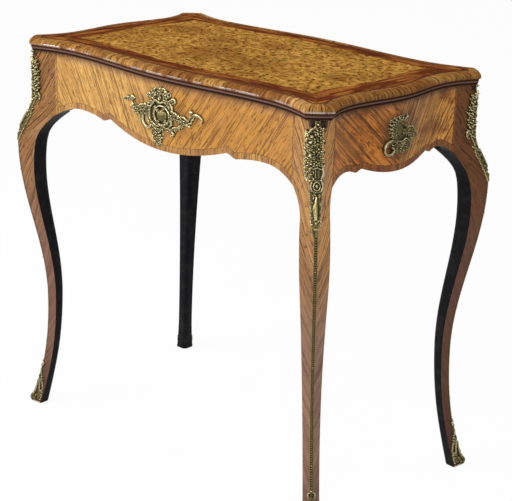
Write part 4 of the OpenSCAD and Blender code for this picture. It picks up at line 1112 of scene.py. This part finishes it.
# The mounts that wrap the corners of the legs are drawn with u running round the corner from
# the middle of the flat, and v the height above the floor.
def corner_net(relief, wing_along_length):
    """Points of the back right leg's surface under a relief."""
    u, z = relief.u * 0.001 * (1 if wing_along_length else -1), relief.v * 0.001
    x, y, cut = leg_faces(z)[:3]
    flat = cut / math.sqrt(2)
    shift = np.clip(u, -flat, flat) / math.sqrt(2)
    beyond = np.maximum(np.abs(u) - flat, 0)
    px, py = x - cut / 2 - shift, y - cut / 2 + shift
    px, py = np.where(u > flat, x - cut - beyond, px), np.where(u < -flat, y - cut - beyond, py)
    py = np.where(u > flat, long_face(z, px), py)
    px = np.where(u < -flat, short_face(z, py), px)
    return np.stack([px, py, z], -1)


def cast_on_legs(name, relief, pins, tarnish):
    """One casting for each leg, its wing on the front of a front leg and on the side of a back one."""
    for corner_name, (side_x, side_y) in corners_of_table.items():
        base = corner_net(relief, side_y < 0) * (side_x, side_y, 1)
        node = name + "_" + corner_name
        cast(node + "_relief", relief, base, side_x > 0, node, pins, tarnish)


# The knee mounts: a leafy and flowered panel under a crowning rosette, a framed window, an oval
# boss, and a long smooth leaf that ends in a husk and a bead. The wing lies on one face only.
knee = Relief(-15, 30, 552, 727, 0.6)
left = np.interp(knee.v, [552, 575, 600, 620, 632, 650, 690, 708, 716, 720], [-3.5, -4.5, -7, -9.5, -10,
    -9.5, -9, -7.5, -6, -3])
right = np.interp(knee.v, [552, 565, 578, 590, 600, 612, 622, 631, 637, 646, 655, 661, 672, 684, 691, 699,
    706, 713, 719], [5, 9, 11, 12, 14, 11.5, 11, 14, 18, 21, 20.5, 23, 22, 23, 22, 19.5, 19, 13, 6])
inside = np.minimum(knee.u - left, right - knee.u)
knee.lay(np.where(inside > 0, np.minimum(2.6, inside * 2), inside * 2))
for v in range(656, 717, 6):
    knee.leaf([(-3, v - 5), (-7, v), (-11 + 0.08 * (v - 656), v + 2)], 7, 4.2, 3)
for low, high, reach in ((704, 712, 21), (694, 705, 23), (683, 691, 25), (672, 681, 27), (661, 668, 25),
        (651, 660, 25), (641, 649, 23)):
    knee.leaf([(5, low - 8), (14, low), (reach, high)], 13, 4.8, 4, 0.25, 0.5)
knee.bar([(9, 716), (15, 703), (17, 690), (16, 676), (17, 662), (13, 650)], [2, 3, 3, 3, 3, 2], 5.0, 0.5)
for u, v, radius, proud, petals, turn in ( (1, 709, 8, 7.5, 6, 0.3), (-4, 695, 7, 5.6, 5, 0.3),
        (5, 690, 7.5, 6.2, 6, 0.6), (-2, 679, 7, 5.8, 5, 0.1), (6, 671, 6.5, 5.6, 5, 0.3),
        (1, 659, 7.5, 6.8, 6, 0.3)):
    knee.flower(u, v, radius, proud, petals, turn)
knee.grains(5, 420, (-13, 25, 652, 718), 1.3, 1.2)
knee.flower(1, 722.5, 5, 6.0, 6)
knee.bead(1, 722.5, 2.6, 8.0)
for side in (-1, 1):
    knee.bar([(side * 8, 654), (side * 8.5, 645), (side * 6.5, 636), (side * 7.5, 624), (side * 5, 616)],
        [2.4, 3, 2.6, 2.8, 2], 4.2)
    knee.bar([(side * 2.6, 651), (side * 2.6, 637)], [1.8, 1.8], 4.4)
    knee.leaf([(side, 616), (side * 3.5, 609), (side * 3, 601)], 6.5, 5.0, 2)
knee.bar([(-7.5, 651), (0, 653.5), (7.5, 651)], [2.4, 3, 2.4], 5.2)
knee.bar([(-6.5, 634), (0, 633), (6.5, 634)], [2.2, 2.8, 2.2], 4.8)
knee.leaf([(11, 648), (20, 646), (22, 636), (16, 630)], 9, 4.4, 3)
knee.oval(0, 624.5, 5, 6.6, 5.0, 2.2)
knee.oval(0, 624.5, 2.8, 4.2, 5.6)
knee.bar([(-6, 617), (0, 615.5), (6, 617)], [2, 2.6, 2], 4.8)
for low in (612, 602, 592, 582, 572):
    knee.leaf([(4, low - 4), (8, low), (8 + 0.1 * (low - 552), low + 5)], 7, 4.4, 2)
    knee.leaf([(-3, low - 4), (-5, low), (-6 - 0.06 * (low - 552), low + 5)], 6, 4.2, 2)
knee.bar([(0.5, 608), (1, 594), (0.5, 578)], [4, 8.5, 5], 6.4)
knee.leaf([(0, 584), (0, 576), (0, 568)], 9, 4.2, 3)
knee.bead(0, 563.5, 3.6, 4.6)
knee.bar([(0, 560), (0, 552)], [4.4, 3.6], 3.4)
cast_on_legs("knee_mount", knee, [(13, 704), (14, 656), (-7, 657), (0, 571)], 0.0)


# The foot mounts: a curl on the corner, a slim looped stem, and two rails down either face that
# open round the dark wood to a scrolled toe. They stand on the floor with the wooden foot.
sabot = Relief(-23, 23, 0, 91, 0.55)
sabot.bar([(0, 90), (0, 70), (0, 48)], [3.5, 6, 4.5], 3.0, 0.5)
sabot.bead(0, 78, 3.6, 4.2)
for side in (-1, 1):
    sabot.bar([(0, 76), (side * 3.5, 80), (side * 4.5, 85), (side * 2, 88)], [3, 3.5, 3.4, 2], 4.2)
    sabot.bar([(side, 70), (side * 3.2, 61), (side, 52)], [2, 2.6, 2], 3.8)
    sabot.bar([(side, 66), (side * 6, 54), (side * 12, 44), (side * 17, 33), (side * 20.5, 20),
        (side * 20, 10)], [2, 3, 3.4, 3.8, 4, 3], 3.0, 0.5)
    sabot.bar([(side, 51), (side * 5, 42), (side * 9, 31), (side * 13, 20), (side * 12, 12)], [2, 2.4,
        2.8, 3, 3], 3.2)
    sabot.leaf([(side * 6, 6), (side * 12, 14), (side * 17, 24)], 9, 3.4, 3)
    for u, v, radius, proud in ((8, 12, 5.0, 5.4), (15, 10, 4.6, 4.4), (20, 7, 2.8, 3.4),
            (5.5, 8, 4.0, 6.5)):
        sabot.bead(side * u, v, radius, proud)
    sabot.bar([(side * 22, 2.2), (side * 10, 1.8), (0, 1.8)], [4, 4, 4], 3.6)
    sabot.leaf([(side * 3, 62), (side * 8, 49), (side * 14, 36)], 8, 3.8, 5)
    sabot.leaf([(side * 16, 30), (side * 19, 20), (side * 18, 10)], 8, 4.4, 4)
sabot.flower(0, 43, 5.2, 4.4, 5)
sabot.bar([(0, 40), (0, 28), (0, 14)], [3, 5.5, 6], 4.4)
sabot.bar([(0, 16), (0, 10), (0, 4)], [6, 12, 10], 6.5, 0.6)
sabot.bead(0, 7, 6.0, 8.5)
sabot.grains(11, 260, (-22, 22, 2, 62), 1.2, 0.8)
cast_on_legs("sabot", sabot, [(0, 60), (-18.5, 27), (18.5, 27)], 0.8)


# The beaded strips down the corners of the legs: a low band cast with two rails and a row of
# beads between them, bent to the curve of the leg and pinned from the foot mount up to the knee.
strip_low, strip_high, strip_proud, strip_pin_proud = 0.088, 0.5525, 0.0004, 0.0022
given, result = new_tree("beaded_strip", {
    "Float": ("Bead Pitch", "Bead Radius", "Rail Radius", "Half Width"), "Vector": ("Outward", "Sideways"),
    "Material": ("Metal",)})


def in_relief(shape, hollow):
    """Notes for the bronze how proud a form is of what lies round it."""
    return noted(shape, "relief", vector(hollow, 0.0))


def rod(path, radius, sides, hollow):
    section = shaped("CurvePrimitiveCircle", Resolution=sides, Radius=radius)
    return in_relief(shaped("CurveToMesh", path, Profile_Curve=section, Fill_Caps=True), hollow)


def finish_cast(shape):
    """Turns a shape into plain smooth metal and hands it over as the result of the tree."""
    smooth = shaped("SetShadeSmooth", shaped("RealizeInstances", shape))
    tree.links.new(shaped("SetMaterial", smooth, Material=given["Metal"]), result)


path = shaped("MeshToCurve", given["Geometry"])
shapes = []
for side in (-1, 1):
    rail = shaped("SetPosition", path, Offset=scaled(given["Sideways"], given["Half Width"] * side))
    shapes.append(rod(rail, given["Rail Radius"], 6, 0.25))
band = shaped("SetPosition", path, Offset=scaled(given["Outward"], given["Half Width"] * -0.85))
shapes.append(rod(band, given["Half Width"], 12, -0.6))
spots = made("GeometryNodeResampleCurve", {"Curve": path, "Length": given["Bead Pitch"]}, mode="LENGTH")
ball = shaped("MeshUVSphere", Segments=8, Rings=5, Radius=given["Bead Radius"])
rise = parts_of(shaped("InputPosition"))[0] / given["Bead Radius"]
ball = in_relief(ball, rise * 1.3 - 0.7)
turn = made("FunctionNodeAlignRotationToVector", {"Vector": shaped("InputTangent")}, axis="Z")
turn = made("FunctionNodeAlignRotationToVector", {"Rotation": turn, "Vector": given["Outward"]},
            axis="X", pivot_axis="Z")
beads = shaped("InstanceOnPoints", spots, Instance=ball, Rotation=turn, Scale=(1.0, 1.3, 0.85))
finish_cast(joined(shapes + [shaped("RealizeInstances", beads)]))

for corner_name, (side_x, side_y) in corners_of_table.items():
    z = np.linspace(strip_low, strip_high, 120)
    x, y, cut = leg_faces(z)[:3]
    line = np.stack([(x - cut / 2) * side_x, (y - cut / 2) * side_y, z], 1)
    outward = Vector((side_x, side_y, 0)).normalized()
    out = np.array(outward)
    start = bpy.data.meshes.new("strip_line")
    start.from_pydata((line + strip_proud * out).tolist(), [(k, k + 1) for k in range(len(z) - 1)], [])
    strip = grow("bead_strip_" + corner_name + "_cast", start, {
        "Bead Pitch": 0.0042, "Bead Radius": 0.0017, "Rail Radius": 0.0006, "Half Width": 0.0024,
        "Outward": outward, "Sideways": Vector((-side_x, side_y, 0)).normalized(), "Metal": bronze})
    fit(strip, "bronze", "bead_strip_" + corner_name)
    for k in (12, 58, 104):
        pin_places.append((line[k] + strip_pin_proud * out, out))


# The pins that hold the mounts: small round-headed brass nails through the castings, one at the
# end of every arm and three along each beaded strip.
given, result = new_tree("round_pins", {"Float": ("Head Radius",), "Material": ("Metal",)})
facing = made("GeometryNodeInputNamedAttribute", {"Name": "facing"}, data_type="FLOAT_VECTOR")
turn = made("FunctionNodeAlignRotationToVector", {"Vector": facing}, axis="Z")
head = in_relief(shaped("MeshUVSphere", Segments=10, Rings=6, Radius=given["Head Radius"]), 0.7)
places = given["Geometry"]
finish_cast(shaped("InstanceOnPoints", places, Instance=head, Rotation=turn, Scale=(1.0, 1.0, 0.6)))
start = bpy.data.meshes.new("pin_places")
start.from_pydata([tuple(place) for place, _ in pin_places], [], [])
facing = start.attributes.new("facing", "FLOAT_VECTOR", "POINT").data
facing.foreach_set("vector", np.array([normal for _, normal in pin_places]).ravel())
pins = grow("mount_pins", start, {"Head Radius": 0.0012, "Metal": bronze})
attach(pins, "root")
